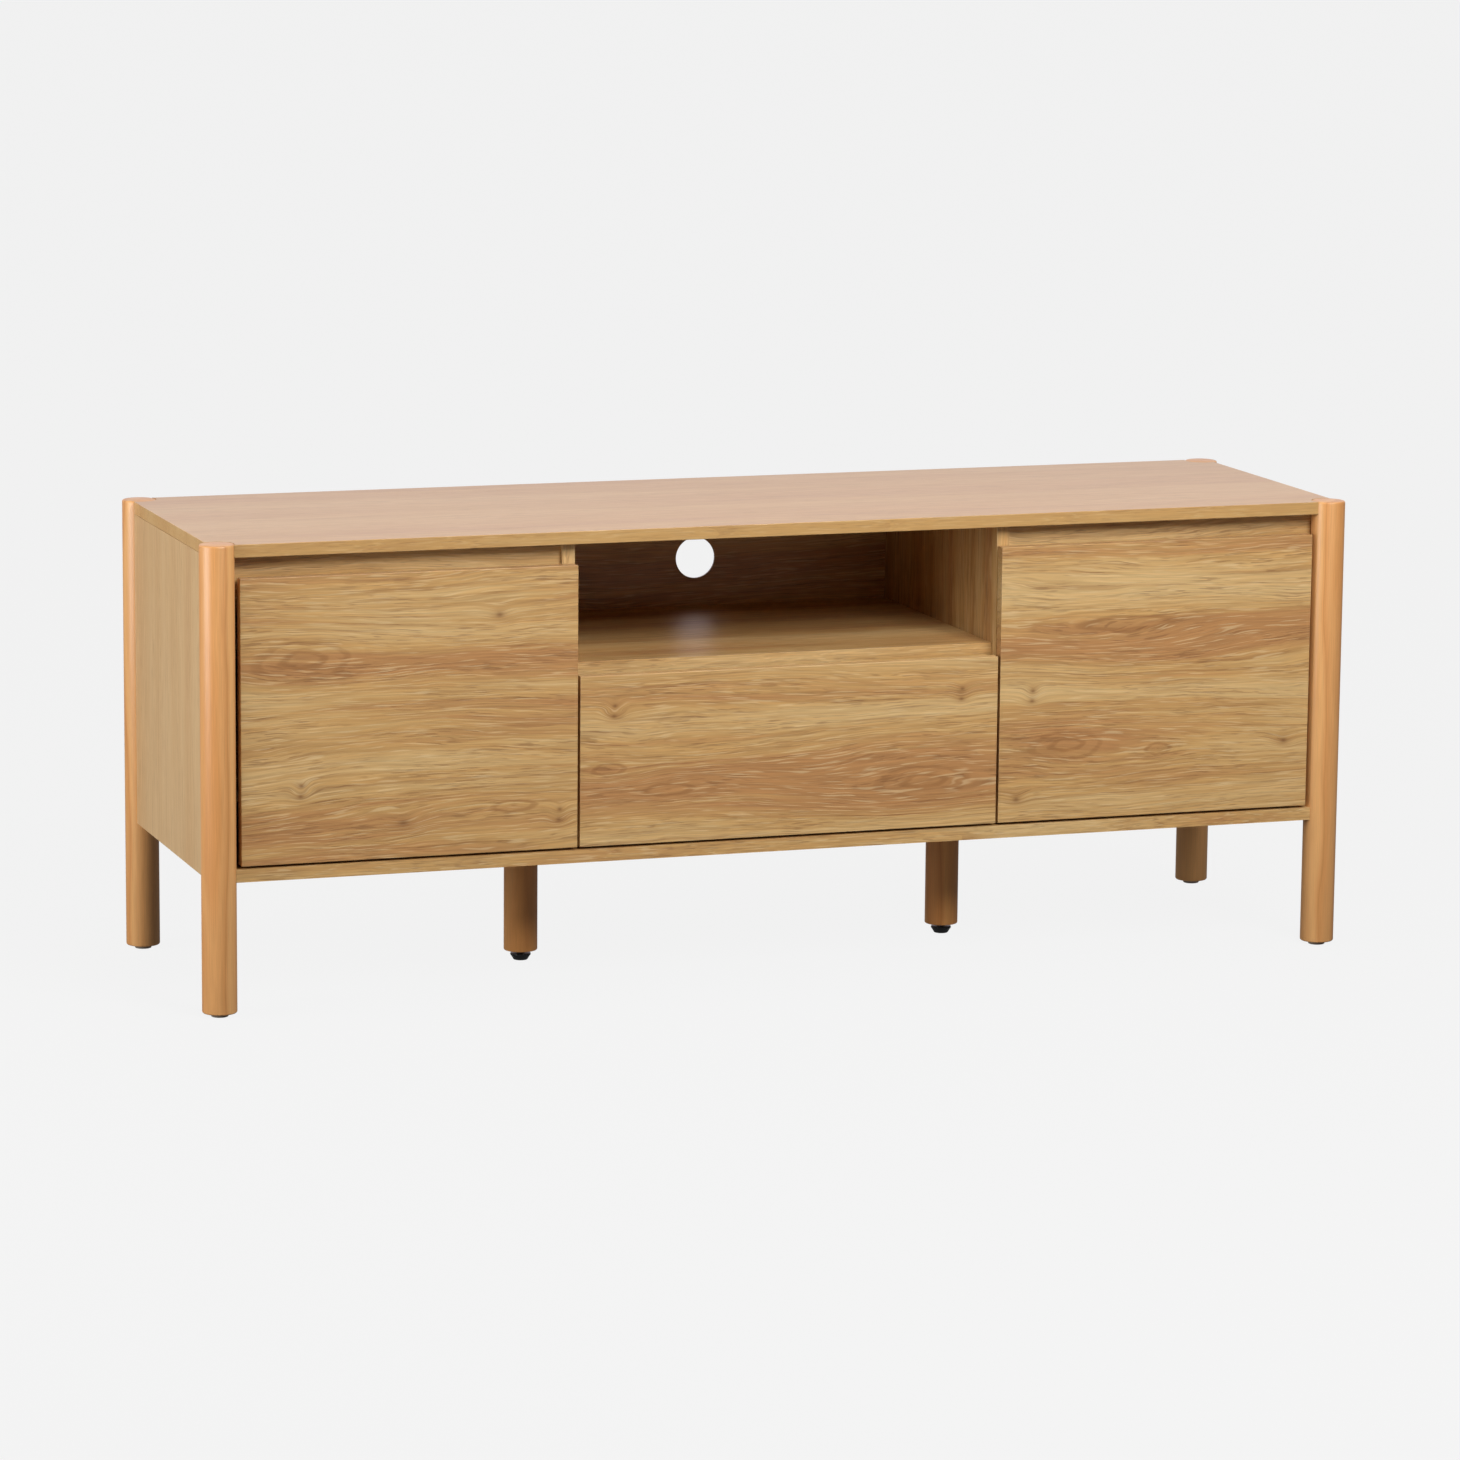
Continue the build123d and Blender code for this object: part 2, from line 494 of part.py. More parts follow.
NAIL_HEAD_R = 2.5
NAIL_HEAD_T = 0.6
BACK_NAIL_R = 0.8
BACK_NAIL_L = 14.0
NAIL_COUNT = 12               # along the bottom panel
NAIL_PITCH = 110.0
SEAM_NAIL_X = 4.0             # from a seam between two backs
SEAM_NAIL_Z = (230.0, 320.0, 470.0)
nails = []
for index in range(NAIL_COUNT):
    nails.append(((index - (NAIL_COUNT - 1) / 2) * NAIL_PITCH, LEG_ROOM + BOARD / 2))
for _, side in SIDES:
    for seam_way in (-1, 1):
        for z in SEAM_NAIL_Z:
            nails.append((side * back_seam + seam_way * SEAM_NAIL_X, z))
nodes["back_nails"] = group(
    rod("Y", NAIL_HEAD_R, BACK_Y + BACK_T, BACK_Y + BACK_T + NAIL_HEAD_T, x, z)
    + rod("Y", BACK_NAIL_R, BACK_Y + BACK_T - BACK_NAIL_L, BACK_Y + BACK_T, x, z)
    for x, z in nails
)

# Every fixing sits in a hole of its own size in the boards that it joins.
FIXINGS = {
    "leg_hanger_bolts": ["middle_leg_left", "middle_leg_right", "bottom_panel"],
    "post_glides": ["post_" + place for place in POST_PLACES],
    "shelf_pins": ["divider_left", "divider_right", "side_panel_left", "side_panel_right"],
    "hinge_cup_screws_left": ["door_left", "hinge_cups_left"],
    "hinge_cup_screws_right": ["door_right", "hinge_cups_right"],
    "hinge_plate_screws": ["hinge_plates", "hinge_batten_left", "hinge_batten_right"],
    "runner_screws": ["runner_fixed_left", "runner_fixed_right", "divider_left", "divider_right"],
    "drawer_runner_screws": ["runner_drawer_left", "runner_drawer_right", "drawer_side_left",
                             "drawer_side_right"],
    "drawer_front_screws": ["drawer_inner_front", "drawer_front"],
    "cam_locks": ["side_panel_left", "side_panel_right", "divider_left", "divider_right", "bottom_panel",
                  "niche_shelf"],
    "cam_bolts": ["side_panel_left", "side_panel_right", "divider_left", "divider_right", "bottom_panel",
                  "niche_shelf", "top_panel"] + ["post_" + place for place in POST_PLACES],
    "wood_dowels": ["divider_left", "divider_right", "bottom_panel", "top_panel"],
    "back_nails": ["back_panel_left", "back_panel_middle", "back_panel_right", "bottom_panel",
                   "divider_left", "divider_right"],
}
for fixing_node, boards in FIXINGS.items():
    for board in boards:
        nodes[board] = nodes[board] - list(nodes[fixing_node].solids())

os.makedirs("parts", exist_ok=True)
for name, shape in nodes.items():
    export_step(shape, "parts/" + name + ".step")
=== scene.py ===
"""Looks of a low oak media cabinet on six turned legs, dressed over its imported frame.

The cabinet is coated board with a printed oak decor, stands on turned solid-wood posts and holds two doors
on concealed hinges, an open niche and a drawer on ball-bearing runners. Everything is in metres, in the
frame's axes: +X to the right, -Y to the front, +Z up, origin on the floor.
"""

import logging
import math
from dataclasses import dataclass, replace
from enum import Enum

import bmesh
import bpy
from mathutils import Matrix, Vector


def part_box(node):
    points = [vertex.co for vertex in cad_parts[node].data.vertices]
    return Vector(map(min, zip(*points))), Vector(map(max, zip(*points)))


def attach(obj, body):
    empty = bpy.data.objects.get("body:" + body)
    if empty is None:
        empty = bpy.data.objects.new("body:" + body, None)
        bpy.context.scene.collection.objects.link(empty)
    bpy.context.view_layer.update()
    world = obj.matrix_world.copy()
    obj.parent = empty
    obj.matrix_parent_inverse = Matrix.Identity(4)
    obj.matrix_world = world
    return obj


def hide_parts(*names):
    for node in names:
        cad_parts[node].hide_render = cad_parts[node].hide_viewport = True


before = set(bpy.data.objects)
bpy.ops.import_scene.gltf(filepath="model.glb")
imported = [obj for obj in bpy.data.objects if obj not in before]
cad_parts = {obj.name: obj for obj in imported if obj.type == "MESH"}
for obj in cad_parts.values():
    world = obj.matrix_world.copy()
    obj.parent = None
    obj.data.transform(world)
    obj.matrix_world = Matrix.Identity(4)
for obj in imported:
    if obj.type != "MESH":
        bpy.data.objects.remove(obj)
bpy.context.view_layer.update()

MM = 0.001
LOG = logging.getLogger("cabinet")
SIDES = (("left", -1), ("right", 1))

Tree = bpy.types.NodeTree
Socket = bpy.types.NodeSocket
Term = Socket | float | tuple[float, ...]
Shape = bmesh.types.BMesh


class Grain(Enum):
    """Which way the grain runs: the axes along the grain, across it on the face, and through the board."""

    FRONT = "XZY"
    TOP = "XYZ"
    SIDE = "ZYX"


class Body(Enum):
    """The moving groups of the frame."""

    CARCASS = "carcass"
    DRAWER = "drawer"
    LEFT_DOOR = "left_door"
    RIGHT_DOOR = "right_door"
    LEFT_RUNNER = "left_runner_middle"
    RIGHT_RUNNER = "right_runner_middle"


# ---- shader tools ----
def linear(code: str) -> tuple[float, float, float, float]:
    """Turns an sRGB hex colour into linear light.

    Args:
        code: Six hex digits, with or without a leading hash.

    Returns:
        Red, green, blue and an alpha of one.
    """
    shares = [int(code.lstrip("#")[i:i + 2], 16) / 255 for i in (0, 2, 4)]
    light = [s / 12.92 if s <= 0.04045 else ((s + 0.055) / 1.055) ** 2.4 for s in shares]
    return (*light, 1.0)


def add(tree: Tree, kind: str, links: dict | None = None, values: dict | None = None,
        **settings) -> bpy.types.Node:
    """Adds one shader node with its settings and links.

    Args:
        tree: The node tree that gets the node.
        kind: The node's type without its leading ShaderNode.
        links: Output sockets to join, by input name or number.
        values: Fixed input values, by input name or number.
        settings: The node's own attributes.

    Returns:
        The new node.
    """
    node = tree.nodes.new("ShaderNode" + kind)
    for name, value in settings.items():
        setattr(node, name, value)
    for key, value in (values or {}).items():
        node.inputs[key].default_value = value
    for key, socket in (links or {}).items():
        tree.links.new(socket, node.inputs[key])
    return node


def split(terms: tuple[Term, ...]) -> tuple[dict, dict]:
    """Sorts a node's inputs, numbered in order, into sockets to link and fixed values."""
    numbered = dict(enumerate(terms))
    links = {key: term for key, term in numbered.items() if isinstance(term, Socket)}
    return links, {key: term for key, term in numbered.items() if key not in links}


def calc(tree: Tree, operation: str, *terms: Term) -> Socket:
    """Adds a math node on sockets or fixed numbers."""
    return add(tree, "Math", *split(terms), operation=operation).outputs[0]


def vector(tree: Tree, operation: str, *terms: Term) -> Socket:
    """Adds a vector math node on sockets or fixed vectors; a length or dot product gives a number."""
    node = add(tree, "VectorMath", *split(terms), operation=operation)
    return node.outputs["Value" if operation in ("LENGTH", "DOT_PRODUCT") else "Vector"]


def tinted(tree: Tree, colour: Socket, tint: Socket) -> Socket:
    """A colour made lighter or darker by a factor."""
    return add(tree, "VectorMath", {0: colour, "Scale": tint}, operation="SCALE").outputs[0]


def remap(tree: Tree, value: Socket, low: float, high: float, first: float = 0.0, last: float = 1.0,
          kind: str = "LINEAR") -> Socket:
    """A value's way from low to high, held between them, as a number from first to last."""
    limits = {"From Min": low, "From Max": high, "To Min": first, "To Max": last}
    return add(tree, "MapRange", {"Value": value}, limits, interpolation_type=kind).outputs[0]


def cut(tree: Tree, value: Socket, low: float, high: float) -> Socket:
    """A value's share of the way from low to high, eased at both ends."""
    return remap(tree, value, low, high, kind="SMOOTHSTEP")


def noise(tree: Tree, point: Socket, detail: float, scale: float = 1.0) -> Socket:
    """A cloudy noise at a point."""
    return add(tree, "TexNoise", {"Vector": point}, {"Scale": scale, "Detail": detail}).outputs[0]


def drawn(tree: Tree, point: Socket, along: float, across: float, detail: float) -> Socket:
    """A noise drawn out along the grain, with features of the given size in millimetres."""
    per_metre = (1 / (along * MM), 1 / (across * MM), 1 / (across * MM))
    return noise(tree, vector(tree, "MULTIPLY", point, per_metre), detail)


def between(tree: Tree, share: Socket, first: str, last: str) -> Socket:
    """A colour between two hex colours."""
    ends = {6: linear(first), 7: linear(last)}
    return add(tree, "Mix", {"Factor": share}, ends, data_type="RGBA").outputs[2]


def over(tree: Tree, colour: Socket, code: str, share: Socket, most: float) -> Socket:
    """A hex colour laid over another where share says, up to most."""
    weight = calc(tree, "MULTIPLY", share, most)
    return add(tree, "Mix", {"Factor": weight, "A": colour}, {7: linear(code)}, data_type="RGBA").outputs[2]


def emboss(tree: Tree, shader: bpy.types.Node, height: Socket, strength: float, deep_mm: float) -> None:
    """Gives a shader a fine relief."""
    bump = add(tree, "Bump", {"Height": height}, {"Strength": strength, "Distance": deep_mm * MM})
    tree.links.new(bump.outputs[0], shader.inputs["Normal"])


@dataclass(frozen=True)
class Surface:
    """The shader numbers of one finish."""

    roughness: float = 0.45
    metallic: float = 0.0
    ior: float = 1.5

    def material(self, name: str) -> tuple[bpy.types.Material, Tree, bpy.types.Node]:
        """Starts a node material with a plain shader.

        Args:
            name: What the material is.

        Returns:
            The material, its node tree and its shader node.
        """
        made = bpy.data.materials.new(name)
        made.use_nodes = True
        tree = made.node_tree
        shader = tree.nodes["Principled BSDF"]
        shader.inputs["Roughness"].default_value = self.roughness
        shader.inputs["Metallic"].default_value = self.metallic
        if not self.metallic:
            shader.inputs["IOR"].default_value = self.ior
        return made, tree, shader


@dataclass(frozen=True)
class Figure:
    """A knot or an eye in the decor: its place and size in millimetres, in the panel's own grain axes."""

    along: float
    across: float
    long: float
    wide: float
    rings: float = 0.0
    dark: float = 0.0
    warmth: float = 0.0


def knot(along: float, across: float, long: float = 9.0, wide: float = 6.0) -> Figure:
    """A small knot with a dark heart and one ring or two that bend round it."""
    return Figure(along, across, long, wide, rings=0.5, dark=0.62)


def twin_knot(along: float, across: float) -> tuple[Figure, Figure]:
    """Two small knots, one above the other."""
    return knot(along, across + 6.0, 6.0, 4.5), knot(along - 1.0, across - 6.0, 7.0, 4.5)


def eye(along: float, across: float, long: float, wide: float, rings: float = 2.6) -> Figure:
    """An eye of closed rings, where the saw has cut over a swelling."""
    return Figure(along, across, long, wide, rings=rings, warmth=0.04)


def warm_band(along: float, across: float, long: float, wide: float, warmth: float = 0.09) -> Figure:
    """A stretch of warmer, browner wood."""
    return Figure(along, across, long, wide, warmth=warmth)


@dataclass(frozen=True)
class Mark:
    """A scattered mark in the decor: its size in millimetres, its detail, its cut and its strength."""

    along: float
    across: float
    detail: float
    low: float
    high: float
    most: float = 1.0

    def scatter(self, tree: Tree, point: Socket) -> Socket:
        """Where the mark shows, from nothing to all."""
        return cut(tree, drawn(tree, point, self.along, self.across, self.detail), self.low, self.high)


# ---- finishes ----
@dataclass(frozen=True)
class OakDecor:
    """Melamine-faced chipboard with a printed oak and a pressed pore: satin, straw to warm brown."""

    name: str
    grain: Grain
    shift: tuple[float, float, float] = (0.0, 0.0, 0.0)
    pale: str = "#CDAA74"
    straw: str = "#C1975E"
    warm: str = "#B28150"
    line: str = "#8A5B31"
    pore: str = "#71492A"
    # Colour of the pale dashes along the grain: painted highlights, as where light catches the pressed
    # pores.
    pore_highlight: str = "#E3C696"
    ring_mm: float = 12.0
    ring_line: float = 0.36
    ring_edge: tuple[float, float] = (0.62, 0.94)
    eye_line: float = 0.42
    eye_rough: float = 0.45
    eye_end: tuple[float, float] = (1.55, 0.75)
    sway_mm: tuple[float, float] = (620.0, 130.0)
    sway: float = 6.0
    wave_mm: tuple[float, float] = (110.0, 24.0)
    wave: float = 0.9
    zone_mm: tuple[float, float] = (520.0, 70.0)
    zone_share: float = 0.45
    soft_mm: tuple[float, float] = (190.0, 5.0)
    soft_share: float = 0.25
    tone_span: tuple[float, float] = (0.40, 0.62)
    zoning: float = 1.0
    contrast: float = 1.0
    # Fibres, pores and the painted highlights on the pores are drawn about four times as wide as the real
    # ones, so that they show.
    fibre_mm: tuple[float, float] = (70.0, 1.7)
    fibre_tint: float = 0.15
    ring_patches: Mark = Mark(200.0, 34.0, 2.0, 0.44, 0.62)
    pore_crowds: Mark = Mark(150.0, 20.0, 2.0, 0.36, 0.62)
    pores: Mark = Mark(26.0, 1.5, 1.5, 0.54, 0.65, 0.44)
    pore_highlights: Mark = Mark(40.0, 1.6, 1.5, 0.56, 0.68, 0.42)
    pore_highlight_shift: tuple[float, float, float] = (0.31, 0.17, 0.07)
    figures: tuple[Figure, ...] = ()
    surface: Surface = Surface(roughness=0.38, ior=1.5)
    rear_board: str = ""
    rear_y: float = 0.0

    def material(self) -> bpy.types.Material:
        """Builds the decor: swaying growth rings, warm zones, fibre streaks, pores and pale dashes of
        painted highlight on the pores.

        Returns:
            The finished node material.
        """
        made, tree, shader = self.surface.material(self.name)
        parts = add(tree, "SeparateXYZ", {0: add(tree, "TexCoord").outputs["Object"]})
        axes = [parts.outputs[letter] for letter in self.grain.value]
        plain = add(tree, "CombineXYZ", dict(enumerate(axes))).outputs[0]
        moved = vector(tree, "ADD", plain, self.shift)
        rings = self.rings(tree, plain, moved)
        along = self.bent(tree, moved, rings)
        colour = self.ground(tree, plain, moved, rings, along)
        edge = cut(tree, calc(tree, "FRACT", rings), *self.ring_edge)
        ring = calc(tree, "MULTIPLY", edge, self.ring_patches.scatter(tree, moved))
        colour = over(tree, colour, self.line, ring, self.ring_line * self.contrast)
        for figure in self.figures:
            if figure.rings and not figure.dark:
                colour = over(tree, colour, self.line, self.eye_rings(tree, plain, figure), self.eye_line)
        fibre = drawn(tree, along, *self.fibre_mm, 3.0)
        swing = self.fibre_tint * self.contrast
        colour = tinted(tree, colour, remap(tree, fibre, 0.3, 0.7, 1 - swing, 1 + swing))
        crowd = calc(tree, "MAXIMUM", ring, self.pore_crowds.scatter(tree, moved))
        pores = calc(tree, "MULTIPLY", self.pores.scatter(tree, along), crowd)
        colour = over(tree, colour, self.pore, pores, self.pores.most * self.contrast)
        # Pale dashes along the grain: painted highlights, as of light catching the pressed pores.
        pore_highlights = self.pore_highlights.scatter(tree, vector(tree, "ADD", along, self.pore_highlight_shift))
        colour = over(tree, colour, self.pore_highlight, pore_highlights, self.pore_highlights.most * self.contrast)
        colour = self.knots(tree, plain, colour)
        if self.rear_board:
            behind = calc(tree, "GREATER_THAN", parts.outputs["Y"], self.rear_y)
            colour = over(tree, colour, self.rear_board, behind, 1.0)
        tree.links.new(colour, shader.inputs["Base Color"])
        emboss(tree, shader, calc(tree, "SUBTRACT", fibre, pores), 0.35, 0.15)
        rough = self.surface.roughness
        tree.links.new(remap(tree, fibre, 0.0, 1.0, rough + 0.06, rough - 0.04), shader.inputs["Roughness"])
        return made

    def ground(self, tree: Tree, plain: Socket, moved: Socket, rings: Socket, along: Socket) -> Socket:
        """The wood's own colour, from pale straw to warm brown, in bands that follow the rings.

        Args:
            tree: The material's nodes.
            plain: The point in grain axes.
            moved: The same point, shifted to this board's own piece of the decor.
            rings: The growth-ring count.
            along: The point in axes that bend with the rings.

        Returns:
            The ground colour.
        """
        tone = add(tree, "TexNoise", {"W": rings}, {"Scale": 0.21, "Detail": 4.0, "Roughness": 0.55},
                   noise_dimensions="1D").outputs[0]
        layers = ((moved, self.zone_mm, 2.0, self.zone_share), (along, self.soft_mm, 3.0, self.soft_share))
        for point, size, detail, share in layers:
            tone = add(tree, "Mix", {"A": tone, "B": drawn(tree, point, *size, detail)}, {"Factor": share},
                       data_type="FLOAT").outputs[0]
        for figure in self.figures:
            if figure.warmth:
                tone = calc(tree, "MULTIPLY_ADD", self.hill(tree, plain, figure, 1.0), figure.warmth, tone)
        half = self.zoning / 2
        ramp = add(tree, "ValToRGB", {0: remap(tree, tone, *self.tone_span, 0.5 - half, 0.5 + half)})
        elements = ramp.color_ramp.elements
        elements.new(0.5)
        for element, position, code in zip(elements, (0.0, 0.5, 1.0), (self.pale, self.straw, self.warm)):
            element.position = position
            element.color = linear(code)
        return ramp.outputs["Color"]

    def bent(self, tree: Tree, moved: Socket, rings: Socket) -> Socket:
        """The point in axes that bend with the rings, so that fibres and pores run along them."""
        parts = add(tree, "SeparateXYZ", {0: moved})
        across = calc(tree, "MULTIPLY", rings, self.ring_mm * MM)
        return add(tree, "CombineXYZ", {0: parts.outputs[0], 1: across, 2: parts.outputs[2]}).outputs[0]

    def rings(self, tree: Tree, plain: Socket, moved: Socket) -> Socket:
        """The growth-ring count at each point: even rings that sway across the board, and bend at figures.

        Args:
            tree: The material's nodes.
            plain: The point in grain axes.
            moved: The same point, shifted to this board's own piece of the decor.

        Returns:
            A count of rings, whose whole numbers are ring edges.
        """
        across = add(tree, "SeparateXYZ", {0: moved}).outputs[1]
        total = calc(tree, "MULTIPLY", across, 1 / (self.ring_mm * MM))
        total = calc(tree, "MULTIPLY_ADD", drawn(tree, moved, *self.sway_mm, 1.5), self.sway, total)
        total = calc(tree, "MULTIPLY_ADD", drawn(tree, moved, *self.wave_mm, 2.0), self.wave, total)
        for figure in self.figures:
            if figure.rings and figure.dark:
                total = calc(tree, "MULTIPLY_ADD", self.hill(tree, plain, figure, 1.8), figure.rings, total)
            elif figure.rings:
                total = self.parted(tree, plain, figure, total)
        return total

    def parted(self, tree: Tree, plain: Socket, figure: Figure, total: Socket) -> Socket:
        """The ring count with the board's rings parted, so that they flow round an eye above and below."""
        scaled = self.inside(tree, plain, figure)
        fall = calc(tree, "MULTIPLY", vector(tree, "DOT_PRODUCT", scaled, scaled), -0.5)
        height = add(tree, "SeparateXYZ", {0: scaled}).outputs[1]
        push = calc(tree, "MULTIPLY", height, calc(tree, "EXPONENT", fall))
        return calc(tree, "MULTIPLY_ADD", push, -0.5 * figure.wide / self.ring_mm, total)

    def eye_rings(self, tree: Tree, plain: Socket, figure: Figure) -> Socket:
        """The closed rings of an eye, from nothing between them to all on them."""
        scaled = self.inside(tree, plain, figure)
        reach = vector(tree, "LENGTH", scaled)
        reach = calc(tree, "MULTIPLY_ADD", noise(tree, scaled, 2.0, 1.6), self.eye_rough, reach)
        wave = calc(tree, "SINE", calc(tree, "MULTIPLY", reach, figure.rings * math.tau))
        return calc(tree, "MULTIPLY", cut(tree, wave, -0.2, 1.0), cut(tree, reach, *self.eye_end))

    def inside(self, tree: Tree, plain: Socket, figure: Figure, size: float = 1.0) -> Socket:
        """The point measured from a figure's middle, in the figure's half length and width times size."""
        offset = vector(tree, "SUBTRACT", plain, (figure.along * MM, figure.across * MM, 0.0))
        reach = MM * size
        return vector(tree, "MULTIPLY", offset, (1 / (figure.long * reach), 1 / (figure.wide * reach), 0.0))

    def hill(self, tree: Tree, plain: Socket, figure: Figure, size: float) -> Socket:
        """A smooth hill of height one over a figure, size times as wide as the figure."""
        scaled = self.inside(tree, plain, figure, size)
        square = vector(tree, "DOT_PRODUCT", scaled, scaled)
        return calc(tree, "EXPONENT", calc(tree, "MULTIPLY", square, -1.0))

    def knots(self, tree: Tree, plain: Socket, colour: Socket) -> Socket:
        """Lays the dark hearts of the knots over the decor."""
        for figure in self.figures:
            if figure.dark:
                colour = over(tree, colour, self.line, self.hill(tree, plain, figure, 1.2), 0.35)
                colour = over(tree, colour, self.pore, self.hill(tree, plain, figure, 0.45), figure.dark)
        return colour


@dataclass(frozen=True)
class TurnedWood:
    """Solid hardwood turned on a lathe and clear lacquered: smooth orange tan with flame-shaped rings."""

    name: str
    heart: tuple[float, float] = (0.055, 0.03)
    pale: str = "#DCA569"
    deep: str = "#CA8A4F"
    line: str = "#9A5829"
    ring_mm: float = 8.0
    ring_line: float = 0.42
    wander: float = 3.4
    wander_per_metre: float = 26.0
    flame: float = 0.16
    # Fibres are drawn about three times as wide as real ones, so that they show.
    fibres_per_metre: tuple[float, float, float] = (900.0, 900.0, 26.0)
    fibre_tint: float = 0.07
    seed: float = 0.0
    surface: Surface = Surface(roughness=0.36, ior=1.48)

    def material(self, centre: tuple[float, float]) -> bpy.types.Material:
        """Builds the wood of one post.

        Args:
            centre: The post's axis in plan, in metres.

        Returns:
            The finished node material.
        """
        made, tree, shader = self.surface.material(self.name)
        heart = (-centre[0] - self.heart[0], -centre[1] - self.heart[1], self.seed)
        moved = vector(tree, "ADD", add(tree, "TexCoord").outputs["Object"], heart)
        flat = vector(tree, "MULTIPLY", moved, (1.0, 1.0, self.flame))
        sway = noise(tree, flat, 1.5, self.wander_per_metre)
        radius = vector(tree, "LENGTH", vector(tree, "MULTIPLY", moved, (1.0, 1.0, 0.0)))
        count = calc(tree, "MULTIPLY", radius, 1 / (self.ring_mm * MM))
        rings = calc(tree, "MULTIPLY_ADD", sway, self.wander, count)
        edge = cut(tree, calc(tree, "FRACT", rings), 0.55, 0.96)
        bands = add(tree, "TexNoise", {"W": rings}, {"Scale": 0.35, "Detail": 2.0},
                    noise_dimensions="1D").outputs[0]
        colour = between(tree, remap(tree, bands, 0.35, 0.65), self.pale, self.deep)
        lines = calc(tree, "MULTIPLY", edge, remap(tree, bands, 0.50, 0.62))
        colour = over(tree, colour, self.line, lines, self.ring_line)
        fibre = noise(tree, vector(tree, "MULTIPLY", moved, self.fibres_per_metre), 3.0)
        tint = remap(tree, fibre, 0.3, 0.7, 1 - self.fibre_tint, 1 + self.fibre_tint)
        tree.links.new(tinted(tree, colour, tint), shader.inputs["Base Color"])
        emboss(tree, shader, fibre, 0.15, 0.08)
        return made


@dataclass(frozen=True)
class Grit:
    """A finish of one colour with a fine grit: pressed board, plastic, rubber or plated metal."""

    name: str
    dark: str
    light: str
    grit_mm: float = 1.0
    relief_mm: float = 0.05
    stretch: tuple[float, float, float] = (1.0, 1.0, 1.0)
    surface: Surface = Surface()
    spread: float = 0.06

    def material(self) -> bpy.types.Material:
        """Builds the finish.

        Returns:
            The finished node material.
        """
        made, tree, shader = self.surface.material(self.name)
        scale = tuple(part / (self.grit_mm * MM) for part in self.stretch)
        grit = noise(tree, vector(tree, "MULTIPLY", add(tree, "TexCoord").outputs["Object"], scale), 3.0)
        colour = between(tree, remap(tree, grit, 0.3, 0.7), self.dark, self.light)
        tree.links.new(colour, shader.inputs["Base Color"])
        rough = self.surface.roughness
        gloss = remap(tree, grit, 0.0, 1.0, rough - self.spread, rough + self.spread)
        tree.links.new(gloss, shader.inputs["Roughness"])
        emboss(tree, shader, grit, 0.3, self.relief_mm)
        return made


def metal(roughness: float) -> Surface:
    """A bare or plated metal surface."""
    return Surface(roughness=roughness, metallic=1.0)


# Fibreboard pressed smooth: dull brown with a felted fleck.
HARDBOARD = Grit("hardboard", "#6F4F31", "#8A6642", 1.8, 0.08, surface=Surface(0.7), spread=0.1)
# Foil-wrapped chipboard of the drawer box: pale warm grey linen print.
DRAWER_FOIL = Grit("drawer_foil", "#D9D2C4", "#E6E0D4", 1.2, 0.04, (0.15, 1.0, 1.0), Surface(0.5))
# Cold-rolled steel, bright zinc plated: pale grey with a faint blue and a drawn grain.
ZINC_STEEL = Grit("zinc_plated_steel", "#B9BDC1", "#D2D6DA", 0.6, 0.02, (1.0, 0.08, 1.0), metal(0.3))
# Pressed steel, nickel plated: warmer and brighter than zinc.
NICKEL_STEEL = Grit("nickel_plated_steel", "#C6C2BA", "#DEDAD2", 0.8, 0.015, surface=metal(0.22))
# Die-cast zinc alloy, left as cast: soft grey.
CAST_ZINC = Grit("die_cast_zinc", "#A3A6A9", "#BDC0C3", 0.7, 0.04, surface=metal(0.38))
# Moulded polyethylene of the nail-on glides: brownish grey, waxy.
GLIDE_PLASTIC = Grit("glide_polyethylene", "#86776A", "#988A7C", 0.8, 0.03, surface=Surface(0.5))
# Moulded nylon of the levelling feet: black, slightly glossy.
FOOT_PLASTIC = Grit("foot_nylon", "#141414", "#1F1F1F", 0.7, 0.03, surface=Surface(0.32))
# Acetal ball cages: milky white.
CAGE_PLASTIC = Grit("cage_acetal", "#D5D6D2", "#E4E5E1", 0.8, 0.02, surface=Surface(0.35))
# Soft polyurethane door bumpers: pale grey.
BUMPER_RUBBER = Grit("bumper_polyurethane", "#B8BBB8", "#CDD0CC", 0.6, 0.02, surface=Surface(0.25))
# Beech dowels: pale, straight.
DOWEL_BEECH = Grit("dowel_beech", "#CFA578", "#DDB88C", 1.0, 0.05, (1.0, 1.0, 0.1), Surface(0.6))


# ---- shapes ----
ORIGIN = Vector((0.0, 0.0, 0.0))
X_AXIS = Vector((1.0, 0.0, 0.0))
Y_AXIS = Vector((0.0, 1.0, 0.0))
Z_AXIS = Vector((0.0, 0.0, 1.0))
SAME_POINT = 1e-6


def place_new(name: str, data: bpy.types.ID) -> bpy.types.Object:
    """Makes an object of a mesh, lamp or camera and puts it in the scene."""
    made = bpy.data.objects.new(name, data)
    bpy.context.scene.collection.objects.link(made)
    return made


